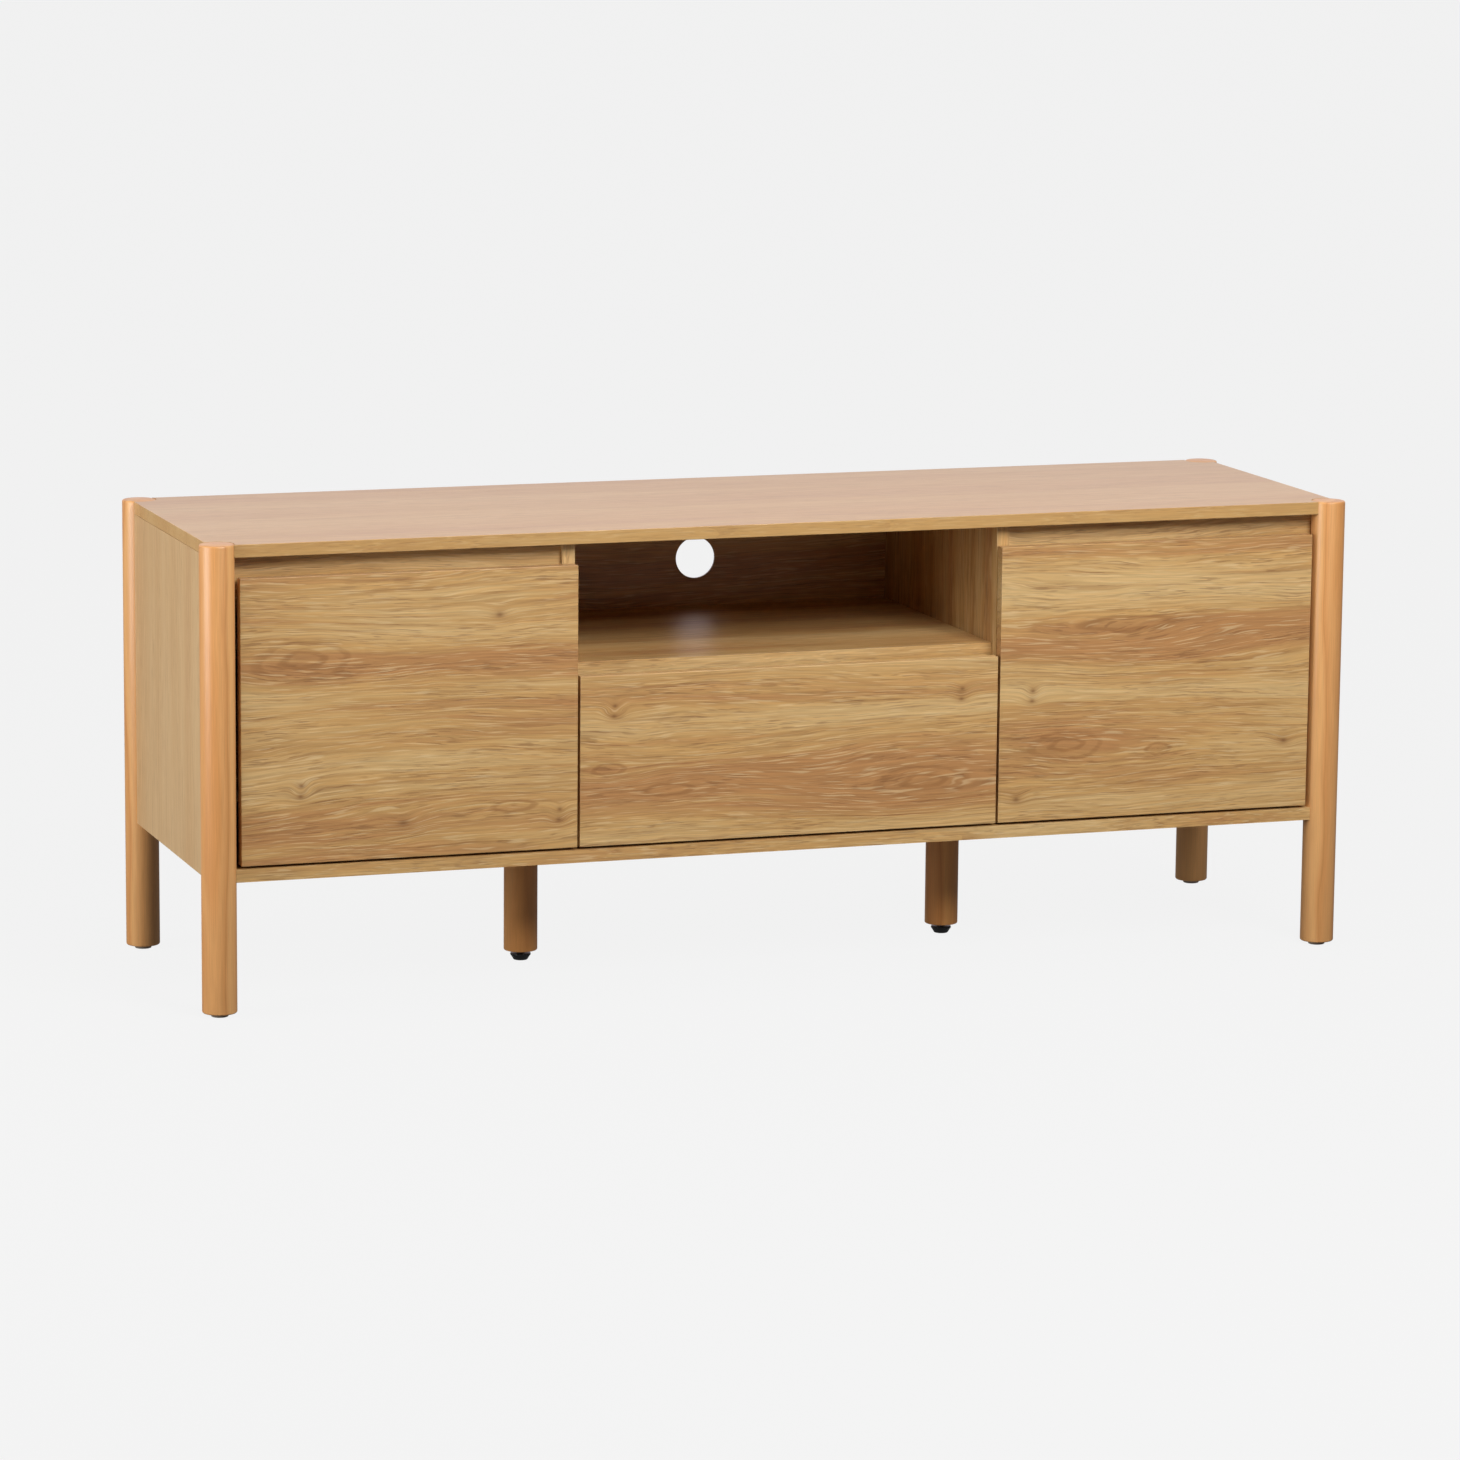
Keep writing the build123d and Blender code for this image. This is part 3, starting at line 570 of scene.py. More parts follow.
def drum(shape: Shape, centre: Vector, low: float, high: float, low_radius: float, high_radius: float,
         segments: int = 32, low_edge: float = 0.0, high_edge: float = 0.0) -> list[bmesh.types.BMVert]:
    """Adds an upright round drum or cone with softened ends.

    Args:
        shape: The mesh that gets it.
        centre: A point on its axis.
        low: Height of its lower face.
        high: Height of its upper face.
        low_radius: Radius at the lower face.
        high_radius: Radius at the upper face.
        segments: Sides of the round.
        low_edge: Rounding of the lower rim; 0 leaves it sharp.
        high_edge: Rounding of the upper rim; 0 leaves it sharp.

    Returns:
        The vertices of the drum.
    """
    place = Matrix.Translation((centre.x, centre.y, (low + high) / 2))
    before = set(shape.verts)
    made = bmesh.ops.create_cone(shape, cap_ends=True, segments=segments, radius1=low_radius,
                                 radius2=high_radius, depth=high - low, matrix=place)["verts"]
    for height, edge in ((low, low_edge), (high, high_edge)):
        if edge:
            rim = [e for v in made if v.is_valid for e in v.link_edges
                   if all(abs(end.co.z - height) < SAME_POINT for end in e.verts)]
            bmesh.ops.bevel(shape, geom=list(set(rim)), offset=edge, segments=3, profile=0.5,
                            affect="EDGES", material=-1)
    return [v for v in shape.verts if v not in before]


def lay(verts: list[bmesh.types.BMVert], shape: Shape, foot: Vector, axis: Vector) -> None:
    """Turns an upright shape that stands on the origin to point along an axis from a foot point."""
    turn = Z_AXIS.rotation_difference(axis).to_matrix().to_4x4()
    bmesh.ops.transform(shape, matrix=Matrix.Translation(foot) @ turn, verts=verts)


def thread(shape: Shape, centre: Vector, low: float, high: float, core: float, crest: float,
           pitch: float) -> None:
    """Winds a screw thread round an upright axis.

    Args:
        shape: The mesh that gets it.
        centre: A point on the axis.
        low: Height where the thread starts.
        high: Height where it ends.
        core: Radius of the core, which the thread's root sinks into.
        crest: Radius of the thread's crest.
        pitch: Rise of one turn.
    """
    root, half, steps_a_turn = core * 0.9, 0.45 * pitch, 16
    start = Vector((centre.x, centre.y, low))
    corners = [shape.verts.new(start + Vector((radius, 0.0, rise))) for radius, rise in
               ((root, -half), (crest, 0.0), (root, half))]
    face = shape.faces.new(corners)
    turns = (high - low) / pitch
    steps = int(turns * steps_a_turn)
    bmesh.ops.spin(shape, geom=[face, *face.edges, *corners], cent=start, axis=Z_AXIS,
                   angle=math.tau * turns, dvec=Z_AXIS * ((high - low) / steps), steps=steps,
                   use_merge=False, use_duplicate=False)


def solids(node: str) -> list[tuple[Vector, Vector]]:
    """Boxes of the separate solids in a frame node.

    Args:
        node: The node's name.

    Returns:
        The lowest and highest corner of each solid.
    """
    copy = bmesh.new()
    copy.from_mesh(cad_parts[node].data)
    bmesh.ops.remove_doubles(copy, verts=copy.verts, dist=SAME_POINT)
    left = set(copy.verts)
    boxes = []
    while left:
        reach = [left.pop()]
        found = list(reach)
        while reach:
            for edge in reach.pop().link_edges:
                for end in edge.verts:
                    if end in left:
                        left.remove(end)
                        reach.append(end)
                        found.append(end)
        boxes.append((Vector(min(v.co[i] for v in found) for i in range(3)),
                      Vector(max(v.co[i] for v in found) for i in range(3))))
    copy.free()
    return sorted(boxes, key=lambda box: tuple(round(c, 5) for c in box[0]))


def finish_piece(name: str, shape: Shape, material: bpy.types.Material, body: str, slot: str,
                 *nodes: str, smooth_angle: float = 35.0) -> bpy.types.Object:
    """Turns a finished shape into a piece that rides on a body and stands for frame nodes.

    Args:
        name: The piece's name.
        shape: The mesh, in its place; it is freed.
        material: Its finish.
        body: The body it moves with.
        slot: The slot that its finish comes from; not used.
        nodes: The frame nodes it stands for.
        smooth_angle: Edges that turn by less than this, in degrees, are shaded round.

    Returns:
        The piece.
    """
    bmesh.ops.recalc_face_normals(shape, faces=shape.faces)
    limit = math.radians(smooth_angle)
    for face in shape.faces:
        face.smooth = True
    for edge in shape.edges:
        if len(edge.link_faces) != 2 or edge.calc_face_angle(math.pi) > limit:
            edge.smooth = False
    mesh = bpy.data.meshes.new(name)
    shape.to_mesh(mesh)
    shape.free()
    mesh.materials.append(material)
    piece = place_new(name, mesh)
    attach(piece, body)
    if nodes:
        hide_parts(*nodes)
    LOG.info("built %s, %d faces, for %s", name, len(mesh.polygons), ", ".join(nodes))
    return piece


def carve(shape: Shape, cutter: Shape) -> bpy.types.Mesh:
    """Cuts one shape out of another.

    Args:
        shape: The shape to cut; it is freed.
        cutter: The closed shape that is taken away; it is freed.

    Returns:
        What is left.
    """
    blanks = []
    for name, solid in (("blank", shape), ("cutter", cutter)):
        bmesh.ops.recalc_face_normals(solid, faces=solid.faces)
        mesh = bpy.data.meshes.new(name)
        solid.to_mesh(mesh)
        solid.free()
        blanks.append(place_new(name, mesh))
    cut = blanks[0].modifiers.new("cut", "BOOLEAN")
    cut.object = blanks[1]
    cut.solver = "EXACT"
    cut.use_self = True
    graph = bpy.context.evaluated_depsgraph_get()
    result = bpy.data.meshes.new_from_object(blanks[0].evaluated_get(graph))
    for blank in blanks:
        bpy.data.objects.remove(blank)
    return result


def stamp(shape: Shape, master: bpy.types.Mesh, foot: Vector, axis: Vector) -> None:
    """Adds a copy of a master that stands on the origin, set on a foot point and pointing along an axis."""
    before = set(shape.verts)
    shape.from_mesh(master)
    lay([v for v in shape.verts if v not in before], shape, foot, axis)


def flute(verts: list[bmesh.types.BMVert], centre: Vector, count: int, deep: float, rim: float) -> None:
    """Presses every other upright line of a drum inwards.

    Args:
        verts: The drum's vertices; the drum has two sides to a flute.
        centre: A point on its axis.
        count: Number of flutes.
        deep: How far the lines go in.
        rim: Only points further out than this move.
    """
    for vert in verts:
        offset = Vector((vert.co.x - centre.x, vert.co.y - centre.y, 0.0))
        turn = math.atan2(offset.y, offset.x) / math.tau * count * 2
        if offset.length > rim and round(turn) % 2:
            vert.co -= offset.normalized() * deep


def cross(half: float, width: float, low: float, high: float) -> Shape:
    """An upright cross that narrows downwards, for cutting a driver recess."""
    taper = 0.55
    shape = bmesh.new()
    for turn in (0.0, math.pi / 2):
        place = Matrix.Translation(Z_AXIS * (low + high) / 2) @ Matrix.Rotation(turn, 4, "Z")
        place = place @ Matrix.Diagonal((half * 2, width, high - low, 1.0))
        bar = bmesh.ops.create_cube(shape, size=1.0, matrix=place)["verts"]
        for vert in bar:
            if vert.co.z < (low + high) / 2:
                vert.co.x *= taper
                vert.co.y *= taper
    return shape


@dataclass(frozen=True)
class Screw:
    """A pan-head wood screw with a cross recess."""

    head_radius: float
    head_high: float
    shank_radius: float
    length: float
    # Shares of the head's radius, of its height and of the shank's radius.
    round_share: float = 0.45
    recess_half: float = 0.52
    recess_wide: float = 0.24
    recess_floor: float = 0.15
    recess_top: float = 1.5
    core_share: float = 0.72
    point_share: float = 1.6
    tip_share: float = 0.1
    pitch_share: float = 0.9

    def master(self) -> bpy.types.Mesh:
        """Builds the screw upright: its head stands on the origin's plane and the shank hangs below."""
        shape = bmesh.new()
        radius, high = self.head_radius, self.head_high
        drum(shape, ORIGIN, 0.0, high, radius, radius, 32, 0.0, high * self.round_share)
        recess = cross(radius * self.recess_half, radius * self.recess_wide, high * self.recess_floor,
                       high * self.recess_top)
        head = carve(shape, recess)
        shape = bmesh.new()
        shape.from_mesh(head)
        core = self.shank_radius * self.core_share
        neck = self.shank_radius * self.point_share - self.length
        drum(shape, ORIGIN, neck, 0.0, core, core, 20)
        drum(shape, ORIGIN, -self.length, neck, core * self.tip_share, core, 20)
        thread(shape, ORIGIN, neck, -self.shank_radius, core, self.shank_radius,
               self.shank_radius * self.pitch_share)
        done = bpy.data.meshes.new("screw")
        bmesh.ops.recalc_face_normals(shape, faces=shape.faces)
        shape.to_mesh(done)
        shape.free()
        return done


def set_screws(name: str, node: str, screw: Screw, material: bpy.types.Material, body: Body, slot: str,
               head_way: Vector) -> None:
    """Sets a screw in place of each solid of a frame node.

    Args:
        name: Name of the new piece.
        node: The frame node.
        screw: The kind of screw.
        material: Its finish.
        body: The body it moves with.
        slot: Passed on to finish_piece, which does not use it.
        head_way: Axis that the shanks lie along, pointing from shank to head; an X of either sign is
            mirrored for screws at the right.
    """
    master = screw.master()
    shape = bmesh.new()
    for low, high in solids(node):
        middle = (low + high) / 2
        way = head_way.copy()
        if way.x and middle.x > 0:
            way = -way
        reach = abs((high - low).dot(way)) / 2
        stamp(shape, master, middle + way * (reach - screw.head_high), way)
    finish_piece(name, shape, material, body.value, slot, node, smooth_angle=30.0)


# ---- sub-assemblies ----
def dress(node: str, material: bpy.types.Material) -> None:
    """Gives a frame node its finish and reports it.

    Args:
        node: The node's name.
        material: The finish for all its faces.
    """
    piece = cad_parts[node]
    piece.data.materials.clear()
    piece.data.materials.append(material)
    LOG.info("dressed %s in %s", node, material.name)


def soften(node: str, width: float) -> None:
    """Breaks a frame node's sharp edges.

    Args:
        node: The node's name.
        width: How far each edge is cut back.
    """
    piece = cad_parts[node]
    piece.modifiers.new("joined", "WELD").merge_threshold = SAME_POINT
    edges = piece.modifiers.new("broken_edges", "BEVEL")
    edges.width = width
    edges.segments = 2
    edges.limit_method = "ANGLE"
    edges.angle_limit = math.radians(50.0)


@dataclass
class Posts:
    """Four turned corner posts, the two middle legs and the glides under the posts."""

    hearts: tuple[tuple[float, float], ...] = ((0.04, 0.045), (-0.05, 0.04), (0.05, -0.03), (-0.045, -0.04))
    places: tuple[str, ...] = ("front_left", "front_right", "rear_left", "rear_right")
    end_radius: float = 2.0 * MM
    leg_end_radius: float = 1.5 * MM
    bore: float = 4.05 * MM
    bore_depth: float = 26.0 * MM
    glide_edge: float = 1.2 * MM
    nail_head: float = 4.0 * MM
    nail_sink: float = 1.0 * MM
    segments: int = 96

    def post(self, place: str, index: int) -> None:
        """Turns one corner post with rounded ends."""
        node = "post_" + place
        low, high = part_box(node)
        middle = (low + high) / 2
        radius = (high.x - low.x) / 2
        shape = bmesh.new()
        drum(shape, middle, low.z, high.z, radius, radius, self.segments, self.end_radius, self.end_radius)
        wood = TurnedWood("turned_post_" + place, self.hearts[index], seed=index * 0.73)
        finish_piece("turned_post_" + place, shape, wood.material((middle.x, middle.y)), Body.CARCASS.value,
                     "post_wood", node)

    def leg(self, side: str, index: int) -> None:
        """Turns one middle leg, bored from below for its levelling foot."""
        node = "middle_leg_" + side
        low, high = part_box(node)
        middle = (low + high) / 2
        radius = (high.x - low.x) / 2
        shape = bmesh.new()
        drum(shape, middle, low.z, high.z, radius, radius, self.segments, self.leg_end_radius)
        under = min(shape.faces, key=lambda face: face.calc_center_median().z - face.calc_area())
        rim = radius - self.leg_end_radius - self.bore
        bmesh.ops.inset_individual(shape, faces=[under], thickness=rim, use_even_offset=True)
        wall = bmesh.ops.extrude_discrete_faces(shape, faces=[under])["faces"][0]
        bmesh.ops.translate(shape, vec=(0.0, 0.0, self.bore_depth), verts=wall.verts)
        # The middle legs get a redder, more saturated copy of the posts' wood: painted warm shade from
        # under the cabinet.
        wood = TurnedWood("turned_leg_" + side, (0.05, 0.02 * index), pale="#DE9C59", deep="#C97F42",
                          seed=3.1 + index)
        finish_piece("turned_leg_" + side, shape, wood.material((middle.x, middle.y)), Body.CARCASS.value,
                     "post_wood", node)

    def glides(self) -> None:
        """Moulds the four nail-on glides, each with a sunk nail head."""
        shape = bmesh.new()
        for low, high in solids("post_glides"):
            middle = (low + high) / 2
            radius = (high.x - low.x) / 2
            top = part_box("post_front_left")[0].z
            made = drum(shape, middle, low.z, top, radius, radius, 48, self.glide_edge)
            under = min((f for v in made for f in v.link_faces),
                        key=lambda f: (f.calc_center_median().z, -f.calc_area()))
            rim = radius - self.glide_edge - self.nail_head
            bmesh.ops.inset_individual(shape, faces=[under], thickness=rim, use_even_offset=True)
            sunk = bmesh.ops.extrude_discrete_faces(shape, faces=[under])["faces"][0]
            bmesh.ops.translate(shape, vec=(0.0, 0.0, self.nail_sink), verts=sunk.verts)
        finish_piece("nail_on_glides", shape, GLIDE_PLASTIC.material(), Body.CARCASS.value, "glide_plastic",
                     "post_glides")

    def build(self) -> None:
        """Builds every post and leg from its own piece of wood."""
        for index, place in enumerate(self.places):
            self.post(place, index)
        for index, (side, _) in enumerate(SIDES):
            self.leg(side, index)
        self.glides()


@dataclass
class Carcass:
    """The boards of the cabinet, its back and the fittings that hold them."""

    edge: float = 0.6 * MM
    cam_radius: float = 7.45 * MM
    cam_deep: float = 11.9 * MM
    cam_rim: float = 0.9 * MM
    cam_sink: float = 0.5 * MM
    room_middle: float = 0.474
    nail_head: float = 0.6 * MM
    nail_radius: float = 0.8 * MM
    dowel_flutes: int = 16
    flute_deep: float = 0.25 * MM
    rear_skin: float = 0.3 * MM

    def build(self) -> None:
        """Dresses the boards, each in its own piece of the decor."""
        top = OakDecor("oak_decor_top", Grain.TOP, (0.4, 0.2, 0.0), zoning=0.45, contrast=0.5,
                       surface=Surface(roughness=0.3, ior=1.5))
        dress("top_panel", top.material())
        dress("bottom_panel", OakDecor("oak_decor_bottom", Grain.TOP, (1.4, 0.9, 0.3)).material())
        dress("niche_shelf", OakDecor("oak_decor_niche_shelf", Grain.TOP, (2.9, 1.3, 0.6)).material())
        pairs = (("divider", "divider", Grain.SIDE, (4.1, 1.1)),
                 ("door_rail", "rail", Grain.FRONT, (5.0, 0.4)),
                 ("inner_shelf", "shelf", Grain.TOP, (6.0, 2.4)),
                 ("hinge_batten", "batten", Grain.SIDE, (7.0, 0.0)))
        for index, (side, _) in enumerate(SIDES):
            # The side panels get a paler, greyer copy of the decor's colours: painted sheen, standing in
            # for light glancing off the sides.
            side_decor_with_painted_sheen = OakDecor("oak_decor_painted_sheen_side_" + side, Grain.SIDE, (0.7 + index, 3.1, 0.0), pale="#CFB084",
                             straw="#C5A172", warm="#B98F63", zoning=0.5, contrast=0.5)
            dress("side_panel_" + side, side_decor_with_painted_sheen.material())
            for node, short, grain, (along, across) in pairs:
                oak = OakDecor(f"oak_decor_{short}_{side}", grain, (along + index, across, 0.0))
                dress(f"{node}_{side}", oak.material())
        for index, place in enumerate(("left", "middle", "right")):
            node = "back_panel_" + place
            back = OakDecor("decor_faced_hardboard_" + place, Grain.FRONT, (8.0 + index, 0.3, 0.0),
                            rear_board="#7A5838", rear_y=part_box(node)[1].y - self.rear_skin)
            dress(node, back.material())
        for node in ("cam_bolts", "shelf_pins", "leg_hanger_bolts"):
            dress(node, ZINC_STEEL.material())
        for node in ("top_panel", "bottom_panel", "niche_shelf", "divider_left", "divider_right",
                     "door_rail_left", "door_rail_right", "inner_shelf_left", "inner_shelf_right"):
            soften(node, self.edge)
        self.cams()
        self.nails()
        self.dowels()
        self.bumpers()

    def cams(self) -> None:
        """Casts the cam locks: a rimmed face with a cross recess."""
        shape = bmesh.new()
        radius = self.cam_radius
        drum(shape, ORIGIN, -self.cam_deep, 0.0, radius, radius, 48, 0.2 * MM, 0.3 * MM)
        face = max(shape.faces, key=lambda f: f.calc_center_median().z + f.calc_area())
        bmesh.ops.inset_individual(shape, faces=[face], thickness=self.cam_rim, use_even_offset=True)
        sunk = bmesh.ops.extrude_discrete_faces(shape, faces=[face])["faces"][0]
        bmesh.ops.translate(shape, vec=(0.0, 0.0, -self.cam_sink), verts=sunk.verts)
        master = carve(shape, cross(radius * 0.5, radius * 0.2, -radius * 0.6, radius * 0.3))
        shape = bmesh.new()
        for low, high in solids("cam_locks"):
            middle = (low + high) / 2
            size = high - low
            if size.z < size.x:
                stamp(shape, master, Vector((middle.x, middle.y, low.z)), -Z_AXIS)
                continue
            room = math.copysign(self.room_middle, middle.x)
            way = X_AXIS * math.copysign(1.0, room - middle.x)
            stamp(shape, master, middle + way * size.x / 2, way)
        finish_piece("cam_lock_discs", shape, CAST_ZINC.material(), Body.CARCASS.value, "cam_zinc",
                     "cam_locks")

    def nails(self) -> None:
        """Drives the domed nails of the backs."""
        shape = bmesh.new()
        for low, high in solids("back_nails"):
            middle = (low + high) / 2
            radius = (high.x - low.x) / 2
            made = drum(shape, ORIGIN, -self.nail_head, 0.0, radius, radius, 16, 0.0, self.nail_head * 0.8)
            made += drum(shape, ORIGIN, low.y - high.y, -self.nail_head, self.nail_radius * 0.3,
                         self.nail_radius, 10)
            lay(made, shape, Vector((middle.x, high.y, middle.z)), Y_AXIS)
        finish_piece("domed_nails", shape, ZINC_STEEL.material(), Body.CARCASS.value, "zinc_steel",
                     "back_nails", smooth_angle=50.0)

    def dowels(self) -> None:
        """Turns the fluted dowels."""
        shape = bmesh.new()
        for low, high in solids("wood_dowels"):
            middle = (low + high) / 2
            size = high - low
            length = max(size)
            radius = min(size) / 2
            made = drum(shape, ORIGIN, -length / 2, length / 2, radius, radius, self.dowel_flutes * 2)
            flute(made, ORIGIN, self.dowel_flutes, self.flute_deep, radius * 0.5)
            axis = Vector(1.0 if part == length else 0.0 for part in size)
            lay(made, shape, middle, axis)
        finish_piece("fluted_dowels", shape, DOWEL_BEECH.material(), Body.CARCASS.value, "dowel_wood",
                     "wood_dowels", smooth_angle=10.0)

    def bumpers(self) -> None:
        """Moulds the domed bumpers behind the doors."""
        shape = bmesh.new()
        for low, high in solids("door_bumpers"):
            middle = (low + high) / 2
            deep = high.y - low.y
            radius = (high.x - low.x) / 2
            made = drum(shape, ORIGIN, 0.0, deep, radius, radius * 0.9, 32, 0.0, deep * 0.7)
            lay(made, shape, Vector((middle.x, high.y, middle.z)), -Y_AXIS)
        finish_piece("bumper_domes", shape, BUMPER_RUBBER.material(), Body.CARCASS.value, "bumper",
                     "door_bumpers", smooth_angle=60.0)


@dataclass
class Doors:
    """Two doors on concealed hinges."""

    edge: float = 0.6 * MM
    steel_edge: float = 0.3 * MM
    screw: Screw = Screw(3.8 * MM, 1.4 * MM, 2.0 * MM, 11.0 * MM)
    adjuster: Screw = Screw(2.9 * MM, 0.8 * MM, 2.9 * MM * 0.6, 5.0 * MM)
    foot_face: float = 0.6498
    adjuster_backs: tuple[float, float] = (12.0 * MM, 36.0 * MM)

    def build(self) -> None:
        """Dresses the doors and their hinges."""
        figures = {
            "left": (eye(-584.0, 405.0, 70.0, 29.0, 2.3), knot(-353.0, 448.0), *twin_knot(-586.0, 256.0),
                     knot(-467.0, 213.0, 14.0, 7.0), *twin_knot(-281.0, 213.0),
                     eye(-336.0, 226.0, 40.0, 10.0, 1.5), warm_band(-585.0, 418.0, 120.0, 34.0, 0.05),
                     warm_band(-380.0, 400.0, 170.0, 16.0, 0.06), warm_band(-560.0, 225.0, 170.0, 24.0)),
            "right": (*twin_knot(301.0, 323.0), eye(462.0, 252.0, 27.0, 11.0, 1.6),
                      eye(345.0, 262.0, 55.0, 20.0, 2.2), eye(420.0, 405.0, 100.0, 14.0, 1.6),
                      knot(625.0, 254.0), knot(282.0, 200.0), warm_band(420.0, 405.0, 220.0, 36.0, 0.08),
                      warm_band(400.0, 250.0, 180.0, 34.0, 0.06)),
        }
        shifts = {"left": (0.0, 0.0, 0.0), "right": (2.2, 0.35, 0.0)}
        for side, _ in SIDES:
            oak = OakDecor("oak_decor_door_" + side, Grain.FRONT, shifts[side], figures=figures[side])
            dress("door_" + side, oak.material())
            dress("hinge_cups_" + side, NICKEL_STEEL.material())
            soften("door_" + side, self.edge)
            soften("hinge_cups_" + side, self.steel_edge)
            body = Body.LEFT_DOOR if side == "left" else Body.RIGHT_DOOR
            set_screws("cup_screws_" + side, "hinge_cup_screws_" + side, self.screw,
                       NICKEL_STEEL.material(), body, "nickel_steel", Y_AXIS)
        for node in ("hinge_arms", "hinge_plates"):
            dress(node, NICKEL_STEEL.material())
            soften(node, self.steel_edge)
        set_screws("plate_screws", "hinge_plate_screws", replace(self.screw, length=14.0 * MM),
                   NICKEL_STEEL.material(), Body.CARCASS, "nickel_steel", X_AXIS)
        self.adjusters()

    def adjusters(self) -> None:
        """Sets the two adjusting screws in each hinge arm's foot."""
        master = self.adjuster.master()
        shape = bmesh.new()
        for low, high in solids("hinge_arms"):
            middle = (low + high) / 2
            way = X_AXIS * math.copysign(1.0, -middle.x)
            face = math.copysign(self.foot_face, middle.x)
            for back in self.adjuster_backs:
                stamp(shape, master, Vector((face, high.y - back, middle.z)), way)
        finish_piece("hinge_adjusting_screws", shape, ZINC_STEEL.material(), Body.CARCASS.value,
                     "nickel_steel", smooth_angle=30.0)


@dataclass
class Drawer:
    """The drawer and its telescopic runners."""

    edge: float = 0.6 * MM
    steel_edge: float = 0.35 * MM
    rail_screw: Screw = Screw(3.4 * MM, 1.0 * MM, 1.8 * MM, 11.0 * MM)
    front_screw: Screw = Screw(3.8 * MM, 1.4 * MM, 2.0 * MM, 23.0 * MM)
    strip_share: float = 0.6
    strip_edge: float = 0.25 * MM
    ball_count: int = 11

    def build(self) -> None:
        """Dresses the drawer's boards and the runners."""
        figures = (*twin_knot(-215.0, 330.0), *twin_knot(212.0, 330.0), eye(-150.0, 235.0, 50.0, 12.0, 1.6),
                   eye(-222.0, 262.0, 30.0, 11.0, 1.5), eye(165.0, 228.0, 70.0, 22.0, 2.2),
                   warm_band(0.0, 245.0, 320.0, 40.0, 0.09), warm_band(150.0, 275.0, 160.0, 20.0, 0.05))
        oak = OakDecor("oak_decor_drawer", Grain.FRONT, (1.1, 0.6, 0.0), figures=figures)
        dress("drawer_front", oak.material())
        foil = DRAWER_FOIL.material()
        for node in ("drawer_inner_front", "drawer_back", "drawer_side_left", "drawer_side_right"):
            dress(node, foil)
        dress("drawer_bottom", HARDBOARD.material())
        zinc = ZINC_STEEL.material()
        for side, _ in SIDES:
            for part in ("fixed", "middle", "drawer"):
                dress(f"runner_{part}_{side}", zinc)
                soften(f"runner_{part}_{side}", self.steel_edge)
            self.ball_cages(side)
        soften("drawer_front", self.edge)
        set_screws("rail_screws", "runner_screws", self.rail_screw, zinc, Body.CARCASS, "zinc_steel",
                   X_AXIS)
        set_screws("drawer_rail_screws", "drawer_runner_screws", replace(self.rail_screw, length=9.0 * MM),
                   zinc, Body.DRAWER, "zinc_steel", -X_AXIS)
        set_screws("front_screws", "drawer_front_screws", self.front_screw, zinc, Body.DRAWER, "zinc_steel",
                   Y_AXIS)

    def ball_cages(self, side: str) -> None:
        """Builds the ball cages of one runner: a strip with a row of steel balls in it."""
        strips, balls = bmesh.new(), bmesh.new()
        for low, high in solids("runner_cages_" + side):
            middle = (low + high) / 2
            size = high - low
            place = Matrix.Translation(middle)
            place @= Matrix.Diagonal((size.x, size.y, size.z * self.strip_share, 1.0))
            made = bmesh.ops.create_cube(strips, size=1.0, matrix=place)["verts"]
            rims = list({e for v in made for e in v.link_edges})
            bmesh.ops.bevel(strips, geom=rims, offset=self.strip_edge, segments=2, profile=0.5,
                            affect="EDGES", material=-1)
            for step in range(self.ball_count):
                spot = middle.copy()
                spot.y = low.y + size.y * (step + 0.5) / self.ball_count
                bmesh.ops.create_icosphere(balls, subdivisions=2, radius=min(size.x, size.z) / 2,
                                           matrix=Matrix.Translation(spot))
        body = (Body.LEFT_RUNNER if side == "left" else Body.RIGHT_RUNNER).value
        finish_piece("ball_strips_" + side, strips, CAGE_PLASTIC.material(), body, "cage_plastic",
                     "runner_cages_" + side)
        finish_piece("bearing_balls_" + side, balls, NICKEL_STEEL.material(), body, "zinc_steel",
                     smooth_angle=80.0)


@dataclass
class LevellingFeet:
    """The two screw-in feet under the middle legs: a ribbed nylon cone on a threaded steel stud."""

    cone_top: float = 8.0 * MM
    grip: float = 2.6 * MM
    ribs: int = 20
    rib_deep: float = 0.6 * MM
    stud: float = 4.0 * MM
    core: float = 3.3 * MM
    pitch: float = 1.25 * MM
    hub: float = 5.6 * MM
    hub_high: float = 0.6 * MM
    base_share: float = 0.68

    def foot(self, side: str) -> None:
        """Builds one foot."""
        node = "levelling_foot_" + side
        low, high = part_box(node)
        middle = (low + high) / 2
        radius = (high.x - low.x) / 2
        valley = radius - self.rib_deep
        cone_top = low.z + self.cone_top
        body = f"{side}_levelling_foot"
        shape = bmesh.new()
        drum(shape, middle, low.z, cone_top - self.grip, radius * self.base_share, valley, 60, 0.6 * MM)
        made = drum(shape, middle, cone_top - self.grip, cone_top, radius, radius, self.ribs * 2, 0.4 * MM,
                    0.4 * MM)
        flute(made, middle, self.ribs, self.rib_deep, valley)
        drum(shape, middle, cone_top - 0.2 * MM, cone_top + self.hub_high, self.hub, self.hub * 0.8, 32,
             0.0, 0.4 * MM)
        finish_piece("levelling_foot_nylon_" + side, shape, FOOT_PLASTIC.material(), body, "foot_plastic",
                     node)
        rod = bmesh.new()
        drum(rod, middle, cone_top, high.z, self.core, self.core, 32, 0.0, 0.5 * MM)
        thread(rod, middle, cone_top + self.pitch, high.z - self.pitch, self.core, self.stud - 0.05 * MM,
               self.pitch)
        finish_piece("levelling_stud_" + side, rod, ZINC_STEEL.material(), body, "zinc_steel")

    def build(self) -> None:
        """Builds both feet."""
        for side, _ in SIDES:
            self.foot(side)


